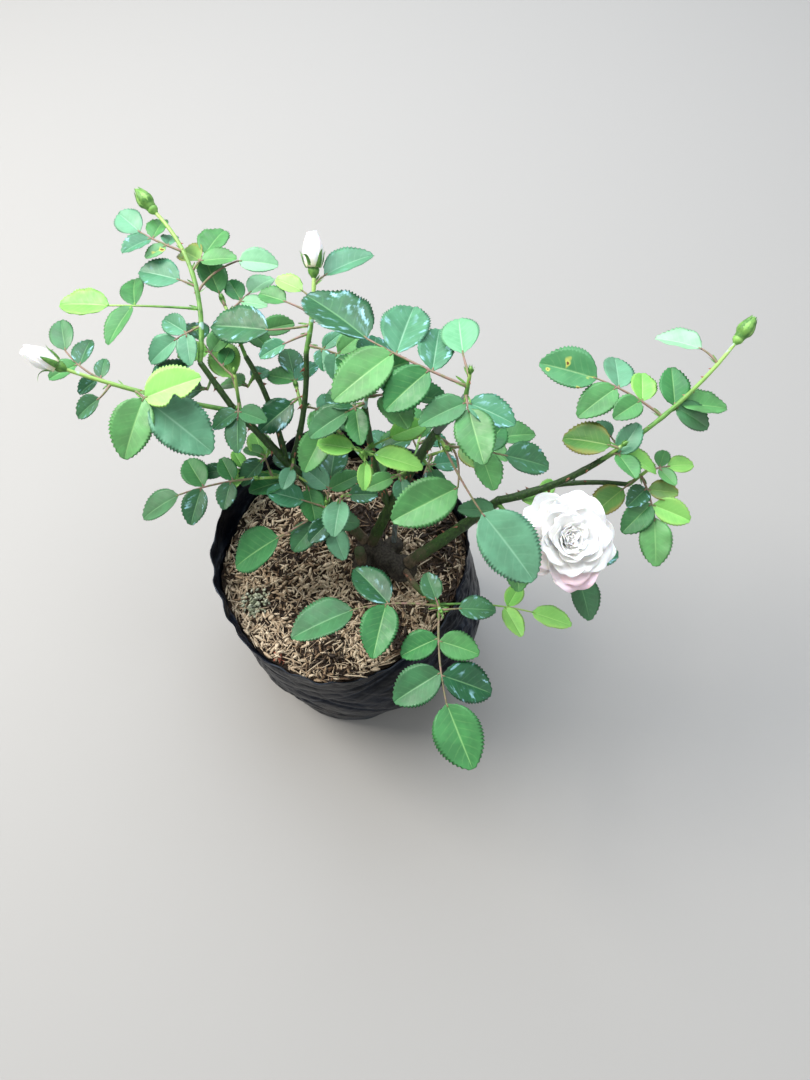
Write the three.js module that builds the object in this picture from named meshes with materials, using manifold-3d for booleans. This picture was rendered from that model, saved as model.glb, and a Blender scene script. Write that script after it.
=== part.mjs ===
// A young rose bush growing in a soft black nursery bag. Millimetres, +Z up.
// The origin is the middle of the bag's flat underside. +X is the long way of the bush, and the
// side that the bush is looked at from is -Y.
// A knuckle of old wood stands on the growing medium, canes rise from it, and each cane ends in
// shoots. Every shoot is one solid: a green stem, its compound leaves, and its bud or bloom.

import * as THREE from "three";
import { mergeVertices } from "three/addons/utils/BufferGeometryUtils.js";
import Module from "manifold-3d";

const wasm = await Module();
wasm.setup();

// Driving sizes of the bag
const BAG_RADIUS = 128; // half the mouth's usual width
const BAG_HEIGHT = 205; // mean height of the rim above the ground
const BAG_WALL = 2.4; // the film and its creases, taken as one wall
const BAG_FLOOR = 3;
const BAG_CORNER = 7; // how far the flat underside stops short of the wall
const BAG_SIDES = 36;
const MEDIUM_LEVEL = 178; // top of the medium where the bush stands
const CLEAR = 0.3; // gap between pieces that rest on each other
const SMALLEST_EDGE = 0.02; // detail finer than this is smoothed out of each finished solid

// Driving sizes of the bush
const KNUCKLE_FOOT = MEDIUM_LEVEL + CLEAR;
const TWIG_SIDES = 3;
const STEM_SIDES = 5;
const CANE_SIDES = 8;
const RACHIS_RADIUS = 1.0;
const BLADE_SHARE_WIDE = 0.76; // width of a leaflet over its length
const BLADE_SHARE_THICK = 0.022; // thickness of a leaflet at its midrib over its length
const YOUNG_SHARE_WIDE = 0.62;
const BLADE_STATIONS = [0.2, 0.5, 0.8]; // shares of a leaflet's length where its outline is set
const SMALL_BLADE_STATIONS = [0.26, 0.72];
const PAIR_ANGLE = 63; // degrees between the rachis and a side leaflet
const PAIR_SIZES = [0.84, 0.64]; // side leaflets over the end leaflet, outer pair first
const DROOP = 0.1; // how far a rachis sinks over its length
const LEAFLET_ROOT = 0.9; // how deep a leaflet's foot is sunk in the rachis
const LEAFLET_CLEARANCE = 0.5; // room kept round a leaflet
const LEAFLET_SHARES = { young: [0.74, 0.4], twoPairs: [0.72, 0.36], onePair: [0.62] }; // of the rachis
const PAIR_STAGGER = 0.03; // the second leaflet of a pair sits this share further back
const FLOWERING_STEM = [2.2, 1.5]; // radii at the root and the tip
const LEAFY_STEM = [1.7, 1.2];
const BUD_LENGTH = 25;
const OPENING_BUD_LENGTH = 34;
const BLOOM_RADIUS = 40;
const BLOOM_DEPTH = 34;
const BLOOM_WAY = [300, 68]; // heading and rise that the bloom faces

const UP = new THREE.Vector3(0, 0, 1);
const NOT_A_LEAF = -1;

// The knuckle: three heads of old wood that share one foot. Each is [x, y, radius, height].
const HEADS = {
  west_head: [22, 25, 12, 20],
  stub_head: [14, 8, 8.5, 12],
  mid_head: [37, 13, 11, 15],
  east_head: [54, 2, 12.5, 19],
  back_head: [45, 27, 9, 14],
};

// Canes. Each starts on a head of the knuckle or on an older cane and is one tapering limb.
// tip is where it ends, arch lifts its middle above the straight line and sway moves it sideways.
const CANES = [
  { name: "east_cane", from: "east_head", tip: [140, 16, 300], radii: [6.2, 4.2], arch: -9, sway: -3 },
  { name: "centre_cane", from: "west_head", tip: [82, 26, 395], radii: [5.6, 3.6], arch: 3, sway: -4 },
  { name: "west_cane", from: "west_head", tip: [-54, 60, 300], radii: [5.4, 4], arch: -6, sway: 2 },
  {
    name: "middle_cane", from: "centre_cane", back: 140, tip: [26, 40, 405], radii: [3.4, 2.6],
    arch: 0, sway: -4,
  },
  { name: "grey_cane", from: "back_head", tip: [63, 50, 305], radii: [2.6, 2], arch: 0, sway: -4 },
  { name: "front_cane", from: "east_head", tip: [86, -60, 245], radii: [3.2, 2.4], arch: -4, sway: 2 },
  {
    name: "inner_cane", from: "west_cane", back: 108, tip: [-14, 20, 262], radii: [2.8, 2.2],
    arch: 0, sway: -3,
  },
  { name: "sawn_stub", from: "stub_head", tip: [13, 7, 213], radii: [5.6, 5.2], arch: 0, sway: 0 },
  { name: "spur", from: "centre_cane", tip: [101, 26, 440], radii: [3.4, 2.6], arch: 0, sway: 1 },
  { name: "east_arm", from: "east_cane", tip: [221, 27, 352], radii: [3.6, 2.4], arch: -3, sway: 4 },
  {
    name: "low_east_arm", from: "east_cane", back: 9, tip: [247, 18, 324], radii: [2.6, 2],
    arch: -8, sway: -14,
  },
  { name: "west_arm", from: "west_cane", tip: [-90, 78, 352], radii: [3.8, 3], arch: -2, sway: 1 },
  { name: "far_west_arm", from: "west_arm", tip: [-112, 99, 385], radii: [2.8, 2.3], arch: 0, sway: 0 },
  {
    name: "north_west_arm", from: "west_cane", back: 7, tip: [-77, 112, 376], radii: [2.8, 2.2],
    arch: 6, sway: 4,
  },
  {
    name: "north_arm", from: "west_cane", back: 14, tip: [-23, 98, 398], radii: [2.8, 2.2],
    arch: 4, sway: 6,
  },
];

// Shoots. Each leaf is [place along the stem, heading, rise, rachis length, pairs, end leaflet,
// turn, kind]. Headings are seen from above, in degrees from +X towards +Y, and rises are degrees
// above level. turn is how far the end leaflet points away from the heading. Young leaves have
// their pairs close to the end and are narrower.
const SHOOTS = [
  {
    name: "far_west_bud_shoot", from: "far_west_arm", tip: [-152, 219, 430], arch: 6, sway: 15, end: "bud",
    leaves: [
      [0.2, 205, -6, 22, 1, 34],
      [0.3, 174, 2, 78, 1, 48, -4, "young"],
      [0.4, 40, 16, 44, 0, 34, -44],
      [0.44, 162, 18, 14, 0, 40],
      [0.54, 62, 10, 20, 1, 38, 10],
      [0.68, 154, 10, 42, 2, 34, -20],
    ],
  },
  {
    name: "west_bud_shoot", from: "west_arm", back: 6, tip: [-215, 82, 398], arch: 2, sway: -5,
    end: "opening_bud",
    leaves: [
      [0.54, 42, 20, 10, 0, 40, 12],
      [0.6, 322, -5, 17, 1, 63, 6],
      [0.66, 146, 6, 66, 2, 34, -42],
      [0.74, 236, -8, 14, 0, 28, -30],
    ],
  },
  {
    name: "west_leaf_shoot", from: "west_arm", back: 12, tip: [-84, 92, 378], arch: 2, sway: 0, end: "tip",
    leaves: [
      [0.3, 270, 2, 14, 1, 32],
      [0.6, 113, 16, 12, 0, 40],
      [0.9, 132, 14, 46, 2, 34, -20],
    ],
  },
  {
    name: "north_west_shoot", from: "north_west_arm", tip: [-96, 154, 396], arch: 2, sway: 0, end: "tip",
    leaves: [
      [0.3, 20, 10, 20, 1, 30],
      [0.75, 52, 10, 26, 1, 30],
      [0.9, 116, 24, 12, 0, 38],
    ],
  },
  {
    name: "north_bud_shoot", from: "north_arm", tip: [-16, 149, 430], arch: 2, sway: 2, end: "opening_bud",
    leaves: [
      [0.1, -20, 4, 36, 2, 34],
      [0.25, 200, -4, 20, 0, 26],
      [0.35, 183, 0, 34, 0, 56, -20],
      [0.5, 152, 8, 24, 0, 28],
      [0.65, 128, 8, 14, 0, 28, 20],
      [0.88, 46, 14, 12, 0, 46, -14],
    ],
  },
  {
    name: "north_low_shoot", from: "north_arm", back: 56, tip: [-36, 96, 354], arch: 0, sway: 0, end: "tip",
    leaves: [
      [0.3, 346, 0, 22, 1, 36],
      [0.6, 214, -8, 6, 0, 40],
      [0.9, 104, 6, 16, 1, 34],
    ],
  },
  {
    name: "spur_shoot", from: "spur", tip: [103, 32, 458], arch: 0, sway: 0, end: "tip",
    leaves: [
      [0.1, 275, 4, 12, 1, 46, 8],
      [0.45, 151, 8, 84, 2, 68, -16],
      [0.9, 102, 8, 20, 0, 46, -8],
    ],
  },
  {
    name: "centre_shoot", from: "centre_cane", back: 5, tip: [88, 8, 400], arch: 0, sway: 0, end: "tip",
    leaves: [
      [0.35, 292, -14, 40, 0, 58, -112],
      [0.7, 298, -5, 62, 0, 66, 14],
      [0.9, -4, -5, 46, 1, 40],
    ],
  },
  {
    name: "middle_shoot", from: "middle_cane", tip: [29, 44, 424], arch: 0, sway: 0, end: "tip",
    leaves: [
      [0.3, 205, -4, 14, 1, 38],
      [0.6, 8, 4, 24, 1, 46],
      [0.9, 84, 6, 20, 1, 40],
    ],
  },
  {
    name: "young_shoot", from: "middle_cane", back: 44, tip: [25, 8, 392], arch: 0, sway: 0, end: "tip",
    leaves: [
      [0.5, 30, 6, 20, 0, 36, 0, "young"],
      [0.75, 268, -16, 8, 0, 24, 0, "young"],
      [0.9, 166, 12, 8, 0, 32, 0, "young"],
      [0.97, -14, 6, 8, 0, 40, 0, "young"],
    ],
  },
  {
    name: "grey_shoot", from: "grey_cane", tip: [92, 48, 330], arch: 2, sway: 0, end: "tip",
    leaves: [
      [0.3, 112, 8, 34, 1, 36],
      [0.6, 250, 2, 26, 1, 34],
      [0.9, 14, 10, 48, 2, 38],
    ],
  },
  {
    name: "bloom_shoot", from: "east_cane", back: 4, tip: [182, -39, 330], arch: -6, sway: 4, end: "bloom",
    leaves: [
      [0.25, 160, 2, 12, 0, 36],
      [0.4, 270, -6, 26, 1, 34],
      [0.5, 58, 6, 32, 1, 26, 0, "young"],
      [0.66, 344, -10, 46, 0, 34, 20],
      [0.78, 316, -12, 42, 0, 40, -28],
    ],
  },
  {
    name: "east_bud_shoot", from: "east_arm", tip: [324, 105, 402], arch: 2, sway: 7, end: "bud",
    leaves: [
      [0.1, 118, 8, 12, 0, 24],
      [0.4, 148, 13, 62, 2, 50, 14],
      [0.44, 34, 10, 13, 1, 42, -32],
      [0.84, 126, 8, 18, 0, 40, 22],
    ],
  },
  {
    name: "east_leaf_shoot", from: "east_arm", back: 8, tip: [232, 30, 366], arch: 0, sway: 0, end: "tip",
    leaves: [
      [0.9, 158, 4, 6, 0, 42],
      [0.6, -8, 2, 10, 1, 36],
    ],
  },
  {
    name: "low_east_shoot", from: "low_east_arm", tip: [262, 26, 336], arch: 0, sway: 0, end: "tip",
    leaves: [
      [0.3, 216, -4, 12, 0, 36],
      [0.6, 284, -6, 37, 2, 42, -14],
      [0.95, 10, 8, 16, 1, 26],
    ],
  },
  {
    name: "front_shoot", from: "front_cane", tip: [88, -72, 260], arch: 0, sway: 0, end: "tip",
    leaves: [
      [0.15, 356, 4, 84, 1, 38, -16, "young"],
      [0.4, 183, 8, 76, 1, 60, 22],
      [0.6, 112, 30, 7, 0, 28],
      [0.7, 273, 4, 84, 2, 58, 18],
      [0.95, 0, 20, 16, 0, 34],
    ],
  },
  {
    name: "inner_shoot", from: "inner_cane", tip: [-14, 24, 276], arch: 0, sway: 0, end: "tip",
    leaves: [
      [0.2, 291, -6, 12, 1, 34],
      [0.4, 222, -16, 14, 0, 36],
      [0.6, 206, -10, 50, 0, 58, -8],
      [0.7, 170, 26, 22, 0, 36],
      [0.95, 84, 14, 26, 1, 40],
    ],
  },
  {
    name: "low_west_shoot", from: "west_cane", back: 30, tip: [-72, 38, 300], arch: 0, sway: 0, end: "tip",
    leaves: [
      [0.45, 176, 16, 50, 1, 30, 16, "young"],
      [0.7, 112, 24, 18, 0, 34],
      [0.97, 190, 0, 74, 2, 42, 12],
    ],
  },
];

// Headings tried for a leaf in turn, in degrees from the one given, until it is clear of the rest.
const NUDGES = [0, 9, -9, 18, -18, 28, -28];
const TILTS = [0, 16, -16];

const clamp = (v, low, high) => Math.min(high, Math.max(low, v));
const radians = (degrees) => (degrees * Math.PI) / 180;
const vec = (p) => new THREE.Vector3(p[0], p[1], p[2]);

// A number from 0 to 1 that is always the same for the same keys.
function chance(...keys) {
  let h = 2166136261;
  for (const key of keys) {
    h = Math.imul(h ^ key, 16777619);
    h = Math.imul(h ^ (h >>> 13), 1540483477);
  }
  return ((h ^ (h >>> 15)) >>> 0) / 4294967296;
}

const spread = (amount, ...keys) => amount * (2 * chance(...keys) - 1);

function heading(degrees, rise) {
  const flat = Math.cos(radians(rise));
  return new THREE.Vector3(
    flat * Math.cos(radians(degrees)),
    flat * Math.sin(radians(degrees)),
    Math.sin(radians(rise)),
  );
}

// A closed geometry as a solid for joins and cuts.
function solidOf(geometry) {
  const g = geometry.clone();
  g.deleteAttribute("normal");
  g.deleteAttribute("uv");
  const merged = mergeVertices(g, 1e-4);
  return new wasm.Manifold(
    new wasm.Mesh({
      numProp: 3,
      vertProperties: merged.attributes.position.array,
      triVerts: new Uint32Array(merged.index.array),
    }),
  );
}

// The largest body of a solid, with any sealed pocket in it filled.
function largest(solid) {
  return solid.decompose().sort((a, b) => b.volume() - a.volume())[0];
}

function geometryOf(solid) {
  const m = solid.simplify(SMALLEST_EDGE).getMesh();
  const g = new THREE.BufferGeometry();
  g.setAttribute("position", new THREE.BufferAttribute(new Float32Array(m.vertProperties), 3));
  g.setIndex(new THREE.BufferAttribute(new Uint32Array(m.triVerts), 1));
  const flat = g.toNonIndexed();
  flat.computeVertexNormals();
  return flat;
}

// A tapered rod bent along a curve: a cylinder whose every ring is moved to its place on the curve.
function bentRod(curve, radiusRoot, radiusTip, sides, steps) {
  const rod = new THREE.CylinderGeometry(radiusTip, radiusRoot, 1, sides, steps);
  const frames = curve.computeFrenetFrames(steps);
  const place = rod.attributes.position;
  for (let i = 0; i < place.count; i++) {
    const along = clamp(place.getY(i) + 0.5, 0, 1);
    const ring = Math.round(along * steps);
    const p = curve.getPointAt(along);
    p.addScaledVector(frames.normals[ring], place.getZ(i));
    p.addScaledVector(frames.binormals[ring], place.getX(i));
    place.setXYZ(i, p.x, p.y, p.z);
  }
  return rod;
}

// The line of a stem, lifted by arch and moved sideways by sway at its middle.
function stemLine(start, tip, arch, sway) {
  const side = new THREE.Vector3().subVectors(tip, start).cross(UP).normalize();
  const middle = new THREE.Vector3().addVectors(start, tip).multiplyScalar(0.5);
  middle.addScaledVector(UP, 2 * arch).addScaledVector(side, 2 * sway);
  return new THREE.QuadraticBezierCurve3(start, middle, tip);
}

// Half the width of a leaflet at share s of its length, as a share of its widest.
const bladeShape = (s) => (Math.pow(s, 0.55) * Math.pow(1 - s, 0.75)) / 0.4124;

// A leaflet as a folded lens: its margin is sharp, its midrib is thick, and its tip bends down.
// grown makes it larger all round, which is how a leaflet is tried before it is placed.
function blade(foot, along, normal, length, shape, grown = 0) {
  const across = new THREE.Vector3().crossVectors(normal, along).normalize();
  const half = (shape.wide * length) / 2 + grown;
  const thick = (BLADE_SHARE_THICK * length) / 2 + grown;
  const reach = length + grown;
  const at = (s, side, lift) => {
    const wide = side * half * bladeShape(s);
    const height = shape.fold * Math.abs(wide) - shape.bend * length * s * s + lift;
    return foot.clone().addScaledVector(along, s * reach).addScaledVector(across, wide)
      .addScaledVector(normal, height);
  };
  const points = [foot.clone(), at(1, 0, 0)];
  const stations = length < 30 ? SMALL_BLADE_STATIONS : BLADE_STATIONS;
  for (const s of stations) {
    points.push(at(s, 1, 0), at(s, 0, thick), at(s, -1, 0), at(s, 0, -thick));
  }
  const faces = [];
  const last = stations.length - 1;
  const corner = (k, j) => 2 + 4 * k + (j % 4);
  for (let j = 0; j < 4; j++) {
    faces.push([0, corner(0, j + 1), corner(0, j)]);
    faces.push([1, corner(last, j), corner(last, j + 1)]);
    for (let k = 0; k < last; k++) {
      faces.push([corner(k, j), corner(k, j + 1), corner(k + 1, j)]);
      faces.push([corner(k, j + 1), corner(k + 1, j + 1), corner(k + 1, j)]);
    }
  }
  const g = new THREE.BufferGeometry();
  const numbers = new Float32Array(points.flatMap((p) => p.toArray()));
  g.setAttribute("position", new THREE.BufferAttribute(numbers, 3));
  g.setIndex(faces.flat());
  return solidOf(g);
}

// Everything that stands already, so that what grows later keeps clear of it.
const standing = [];

const boxOf = (solid) => {
  const b = solid.boundingBox();
  return new THREE.Box3(vec(b.min), vec(b.max));
};

function stand(solid, owner, leaf = NOT_A_LEAF) {
  standing.push({ solid, owner, leaf, box: boxOf(solid) });
  return solid;
}

// Whether a piece of a shoot's leaf would touch another shoot, a cane or another leaf.
function touches(solid, owner, leaf) {
  const box = boxOf(solid);
  return standing.some((other) => {
    const ownPart = other.owner === owner && (other.leaf === NOT_A_LEAF || other.leaf === leaf);
    return !ownPart && other.box.intersectsBox(box) && other.solid.intersect(solid).volume() > 1e-4;
  });
}

// One compound leaf: a rachis, a leaflet at its end and pairs of side leaflets. The rachis droops
// a little and bends towards its end leaflet. A leaflet with no clear place is left out.
function compoundLeaf(at, plan, nudge, shoot, leaf, owner) {
  const [, to, rise, length, pairs, size, turn = 0, kind = "grown"] = plan;
  const young = kind === "young";
  const end = at.clone().addScaledVector(heading(to + nudge, rise), length)
    .addScaledVector(UP, -DROOP * length);
  const middle = at.clone().addScaledVector(heading(to + nudge - turn / 2, rise), length / 2);
  const line = new THREE.QuadraticBezierCurve3(at, middle, end);
  const steps = length > 30 ? 3 : 2;
  const clearPart = new THREE.QuadraticBezierCurve3(line.getPoint(0.14), middle, end);
  const fat = solidOf(bentRod(clearPart, RACHIS_RADIUS + 1, RACHIS_RADIUS + 1, TWIG_SIDES, steps));
  const rachis = solidOf(bentRod(line, RACHIS_RADIUS * 1.25, RACHIS_RADIUS, TWIG_SIDES, steps));
  if (touches(fat, owner, leaf) || touches(rachis, owner, leaf)) return null;
  const pieces = [rachis];
  let missed = 0;
  const place = (share, side, leaflet, key) => {
    const on = line.getPoint(share);
    const along = line.getTangent(share);
    const normal = UP.clone().addScaledVector(along, -UP.dot(along)).normalize();
    normal.applyAxisAngle(along, radians(spread(15, shoot, leaf, key, 1)));
    const off = side ? side * (PAIR_ANGLE + spread(9, shoot, leaf, key, 2)) : turn / 2;
    const out = along.clone().applyAxisAngle(normal, radians(off));
    const shape = {
      wide: young ? YOUNG_SHARE_WIDE : BLADE_SHARE_WIDE,
      fold: 0.22 + 0.2 * chance(shoot, leaf, key, 3),
      bend: 0.06 + 0.14 * chance(shoot, leaf, key, 4),
    };
    const hinge = new THREE.Vector3().crossVectors(normal, out).normalize();
    for (const tilt of TILTS) {
      const lift = -radians(tilt + spread(9, shoot, leaf, key, 5));
      const dir = out.clone().applyAxisAngle(hinge, lift);
      const face = normal.clone().applyAxisAngle(hinge, lift);
      const ahead = on.clone().addScaledVector(dir, 3);
      const tried = blade(ahead, dir, face, leaflet - 2, shape, LEAFLET_CLEARANCE);
      const root = on.clone().addScaledVector(dir, -LEAFLET_ROOT);
      const placed = blade(root, dir, face, leaflet, shape);
      if (touches(tried, owner, leaf) || touches(placed, owner, leaf)) continue;
      pieces.push(placed);
      return;
    }
    missed++;
  };
  place(1, 0, size, 0);
  const layout = young ? "young" : pairs > 1 ? "twoPairs" : "onePair";
  const shares = LEAFLET_SHARES[layout];
  for (let p = 0; p < pairs; p++) {
    place(shares[p], 1, size * PAIR_SIZES[p], 1 + 2 * p);
    place(shares[p] - PAIR_STAGGER, -1, size * PAIR_SIZES[p], 2 + 2 * p);
  }
  return { pieces, missed };
}

// The leaf at the heading nearest to the planned one where all of it is clear, or where most is.
function clearLeaf(at, plan, shoot, leaf, owner) {
  let best = null;
  for (const nudge of NUDGES) {
    const made = compoundLeaf(at, plan, nudge, shoot, leaf, owner);
    if (made && (!best || made.missed < best.missed)) best = made;
    if (best && best.missed === 0) break;
  }
  return best;
}

function flipped(geometry) {
  const g = geometry.clone();
  const order = Array.from(g.index.array);
  for (let i = 0; i < order.length; i += 3) {
    [order[i + 1], order[i + 2]] = [order[i + 2], order[i + 1]];
  }
  g.setIndex(order);
  return g;
}

// A solid turned round an axis, from a list of [radius, height], set on a point to face a way.
function turned(profile, sides, at, way, lobes = 0, depth = 0) {
  const g = new THREE.LatheGeometry(profile.map(([r, h]) => new THREE.Vector2(r, h)), sides);
  const place = g.attributes.position;
  for (let i = 0; i < place.count; i++) {
    const round = Math.atan2(place.getZ(i), place.getX(i));
    const scale = 1 + depth * Math.cos(lobes * round);
    place.setX(i, place.getX(i) * scale);
    place.setZ(i, place.getZ(i) * scale);
  }
  const toWay = new THREE.Quaternion().setFromUnitVectors(new THREE.Vector3(0, 1, 0), way);
  g.applyQuaternion(toWay);
  g.translate(at.x, at.y, at.z);
  const solid = solidOf(g);
  return solid.volume() < 0 ? solidOf(flipped(mergeVertices(bare(g), 1e-4))) : solid;
}

function bare(geometry) {
  const g = geometry.clone();
  g.deleteAttribute("normal");
  g.deleteAttribute("uv");
  return g;
}

// A bud: its hip, the swelling calyx and the point. An opening bud is longer.
function bud(at, way, length) {
  const r = 0.27 * length;
  const profile = [
    [0, -2], [0.34 * r, -1], [0.7 * r, 0.16 * length], [0.55 * r, 0.24 * length],
    [r, 0.5 * length], [0.72 * r, 0.78 * length], [0, length],
  ];
  return turned(profile, 7, at, way);
}

// The bloom: a saucer of outer petals round a cup of inner ones, and the hip under them.
function bloom(at, way) {
  const r = BLOOM_RADIUS;
  const d = BLOOM_DEPTH;
  const outer = [[0, 0], [0.3, 0.04], [0.72, 0.3], [1, 0.62], [0.93, 0.72], [0.6, 0.78], [0, 0.7]];
  const inner = [[0, 0.2], [0.5, 0.4], [0.72, 0.72], [0.6, 0.95], [0.3, 1.02], [0, 0.94]];
  const sized = ([wide, high]) => [wide * r, high * d];
  const saucer = turned(outer.map(sized), 20, at, way, 5, 0.045);
  const cup = turned(inner.map(sized), 18, at, way, 6, 0.05);
  const hip = turned([[0, -12], [3.4, -9], [5.2, -4], [4.2, 1], [0, 3]], 7, at, way);
  return [saucer, cup, hip];
}

// How the bag has slumped. The mouth is wide at the back and pressed in at the front right, the
// wall bulges below it, and the rim rides high at the back.
const lobe = (round, centre, width) => {
  let off = Math.abs(round - centre) % 360;
  off = off > 180 ? 360 - off : off;
  return Math.exp(-0.5 * (off / width) ** 2);
};

const BELLY_SHARE = 0.45; // share of the height where the bag bulges most
const wave = (count, round, shift) => Math.cos(radians(count * round + shift));

// The bag's girth at a share of its height, as a share of its usual radius.
function slump(share, round) {
  const mouth = 1 + 0.07 * lobe(round, 115, 55) - 0.04 * lobe(round, 225, 40)
    - 0.15 * lobe(round, 310, 42);
  const belly = 1 + 0.11 * lobe(round, 350, 45) - 0.09 * lobe(round, 265, 50);
  const foot = 0.88 + 0.025 * wave(4, round, 20) - 0.04 * lobe(round, 270, 45);
  const crease = 0.006 * wave(9, round, 140 * share) + 0.008 * wave(5, round, -200 * share);
  const ease = (t) => t * t * (3 - 2 * t);
  const low = ease(clamp(share / BELLY_SHARE, 0, 1));
  const high = ease(clamp((share - BELLY_SHARE) / (1 - BELLY_SHARE), 0, 1));
  return foot + (belly - foot) * low + (mouth - belly) * high + crease * share;
}

const rimHeight = (round) => BAG_HEIGHT + 22 * lobe(round, 105, 50) - 20 * lobe(round, 262, 48)
  - 10 * lobe(round, 320, 30) + 3 * wave(7, round, 0);

// Turns a profile of [radius, height] round the bag's axis and slumps it as the bag is slumped.
function slumped(profile) {
  const g = bare(new THREE.LatheGeometry(profile.map(([r, h]) => new THREE.Vector2(r, h)), BAG_SIDES));
  g.rotateX(Math.PI / 2);
  const place = g.attributes.position;
  for (let i = 0; i < place.count; i++) {
    const [x, y, z] = [place.getX(i), place.getY(i), place.getZ(i)];
    const round = (THREE.MathUtils.radToDeg(Math.atan2(y, x)) + 360) % 360;
    const share = z / BAG_HEIGHT;
    const scale = slump(share, round);
    const raised = z * (1 + (rimHeight(round) / BAG_HEIGHT - 1) * share * share);
    place.setXYZ(i, x * scale, y * scale, raised);
  }
  const solid = solidOf(g);
  return solid.volume() < 0 ? solidOf(flipped(mergeVertices(g, 1e-4))) : solid;
}

const WALL_LEVELS = [0.06, 0.2, 0.36, 0.55, 0.75, 0.88, 1];

function growBag() {
  const outer = WALL_LEVELS.map((level) => [BAG_RADIUS, level * BAG_HEIGHT]);
  const inner = WALL_LEVELS.map((level) => [BAG_RADIUS - BAG_WALL, level * BAG_HEIGHT]).reverse();
  return slumped([
    [0, 0], [BAG_RADIUS - BAG_CORNER, 0], ...outer,
    ...inner, [BAG_RADIUS - BAG_CORNER - 2, BAG_FLOOR], [0, BAG_FLOOR],
  ]);
}

// The medium fills the bag to a level below its rim, with a small gap to the wall all round. Its
// profile runs the same way as the bag's inner wall, so their facets lie along each other.
function growingMedium() {
  const radius = BAG_RADIUS - BAG_WALL - 1.5 * CLEAR;
  const wall = WALL_LEVELS.map((level) => [radius, level * BAG_HEIGHT]).reverse();
  const fill = slumped([
    [0, BAG_HEIGHT], ...wall,
    [BAG_RADIUS - BAG_CORNER - 2 - 1.5 * CLEAR, BAG_FLOOR + CLEAR], [0, BAG_FLOOR + CLEAR],
  ]);
  return fill.subtract(block(MEDIUM_LEVEL, MEDIUM_LEVEL + 2 * BAG_HEIGHT));
}

// A wide block between two heights, for cutting.
function block(low, high) {
  const g = new THREE.BoxGeometry(4 * BAG_RADIUS, 4 * BAG_RADIUS, high - low);
  g.translate(0, 0, (low + high) / 2);
  return solidOf(g);
}

// The knuckle of old wood, sawn flat where it meets the medium, with a socket round the foot of
// each cane that rises from it.
function knuckle() {
  const heads = Object.values(HEADS).map(([x, y, r, h]) => {
    const profile = [
      [0, -4], [1.45 * r, -4], [1.32 * r, 1], [1.02 * r, 0.3 * h], [0.98 * r, 0.62 * h],
      [0.72 * r, 0.9 * h], [0, h],
    ];
    return turned(profile, 10, new THREE.Vector3(x, y, KNUCKLE_FOOT), UP, 3, 0.05);
  });
  const whole = wasm.Manifold.union(heads).subtract(block(0, KNUCKLE_FOOT));
  return largest(sockets.reduce((wood, socket) => wood.subtract(socket), whole));
}

// Canes and stems. Each is kept with a copy grown by the gap, which is cut out of whatever grows
// from it or beside it, so that their feet fit against each other without touching.
const limbs = {};
const sockets = [];

function growLimb(name, from, line, rootRadius, tipRadius, sides, steps) {
  const longer = line.clone();
  longer.v0.addScaledVector(line.getTangent(0), -CLEAR);
  longer.v2.addScaledVector(line.getTangent(1), CLEAR);
  const gap = 1.3 * CLEAR;
  const fat = solidOf(bentRod(longer, rootRadius + gap, tipRadius + gap, sides, steps));
  const beside = Object.values(limbs).filter((limb) => limb.from === from);
  const cutters = limbs[from] ? [limbs[from], ...beside] : beside; // a head has no limb of its own
  let rod = solidOf(bentRod(line, rootRadius, tipRadius, sides, steps));
  for (const cutter of cutters) rod = rod.subtract(cutter.fat);
  limbs[name] = { from, line, fat };
  if (HEADS[from]) sockets.push(fat);
  return largest(rod);
}

function growCane(cane) {
  const tip = vec(cane.tip);
  const [rootRadius, tipRadius] = cane.radii;
  let start;
  if (HEADS[cane.from]) {
    const [x, y, r, h] = HEADS[cane.from];
    const heart = new THREE.Vector3(x, y, KNUCKLE_FOOT + h - r);
    const way = new THREE.Vector3().subVectors(tip, heart).normalize();
    start = heart.addScaledVector(way, 0.75 * r);
  } else {
    start = placeOn(cane);
  }
  const line = stemLine(start, tip, cane.arch, cane.sway);
  const steps = clamp(Math.round(line.getLength() / 22), 2, 8);
  return stand(growLimb(cane.name, cane.from, line, rootRadius, tipRadius, CANE_SIDES, steps), cane.name);
}

// The point on the middle of the limb that a plan grows from, a little way back from its tip.
function placeOn(plan) {
  const old = limbs[plan.from].line;
  return old.getPointAt(1 - (plan.back || 0) / old.getLength());
}

// The green stem of a shoot with its bud or bloom.
function growStem(shoot) {
  const tip = vec(shoot.tip);
  const flowering = shoot.end !== "tip";
  const line = stemLine(placeOn(shoot), tip, shoot.arch, shoot.sway);
  const steps = clamp(Math.round(line.getLength() / 24), 2, 6);
  const [rootRadius, tipRadius] = flowering ? FLOWERING_STEM : LEAFY_STEM;
  const pieces = [growLimb(shoot.name, shoot.from, line, rootRadius, tipRadius, STEM_SIDES, steps)];
  const endWay = line.getTangent(1).addScaledVector(UP, 0.3).normalize();
  if (shoot.end === "bud") pieces.push(bud(tip, endWay, BUD_LENGTH));
  if (shoot.end === "opening_bud") pieces.push(bud(tip, endWay, OPENING_BUD_LENGTH));
  if (shoot.end === "bloom") pieces.push(...bloom(tip, heading(...BLOOM_WAY)));
  for (const piece of pieces) stand(piece, shoot.name);
  return pieces;
}

// The leaves of a shoot, fused to its stem. All the stems stand before the first leaf grows.
function growLeaves(shoot, index, pieces) {
  const { line } = limbs[shoot.name];
  shoot.leaves.forEach((plan, leaf) => {
    const made = clearLeaf(line.getPoint(plan[0]), plan, index, leaf, shoot.name);
    if (!made) return;
    for (const piece of made.pieces) pieces.push(stand(piece, shoot.name, leaf));
  });
  return largest(wasm.Manifold.union(pieces));
}

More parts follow.
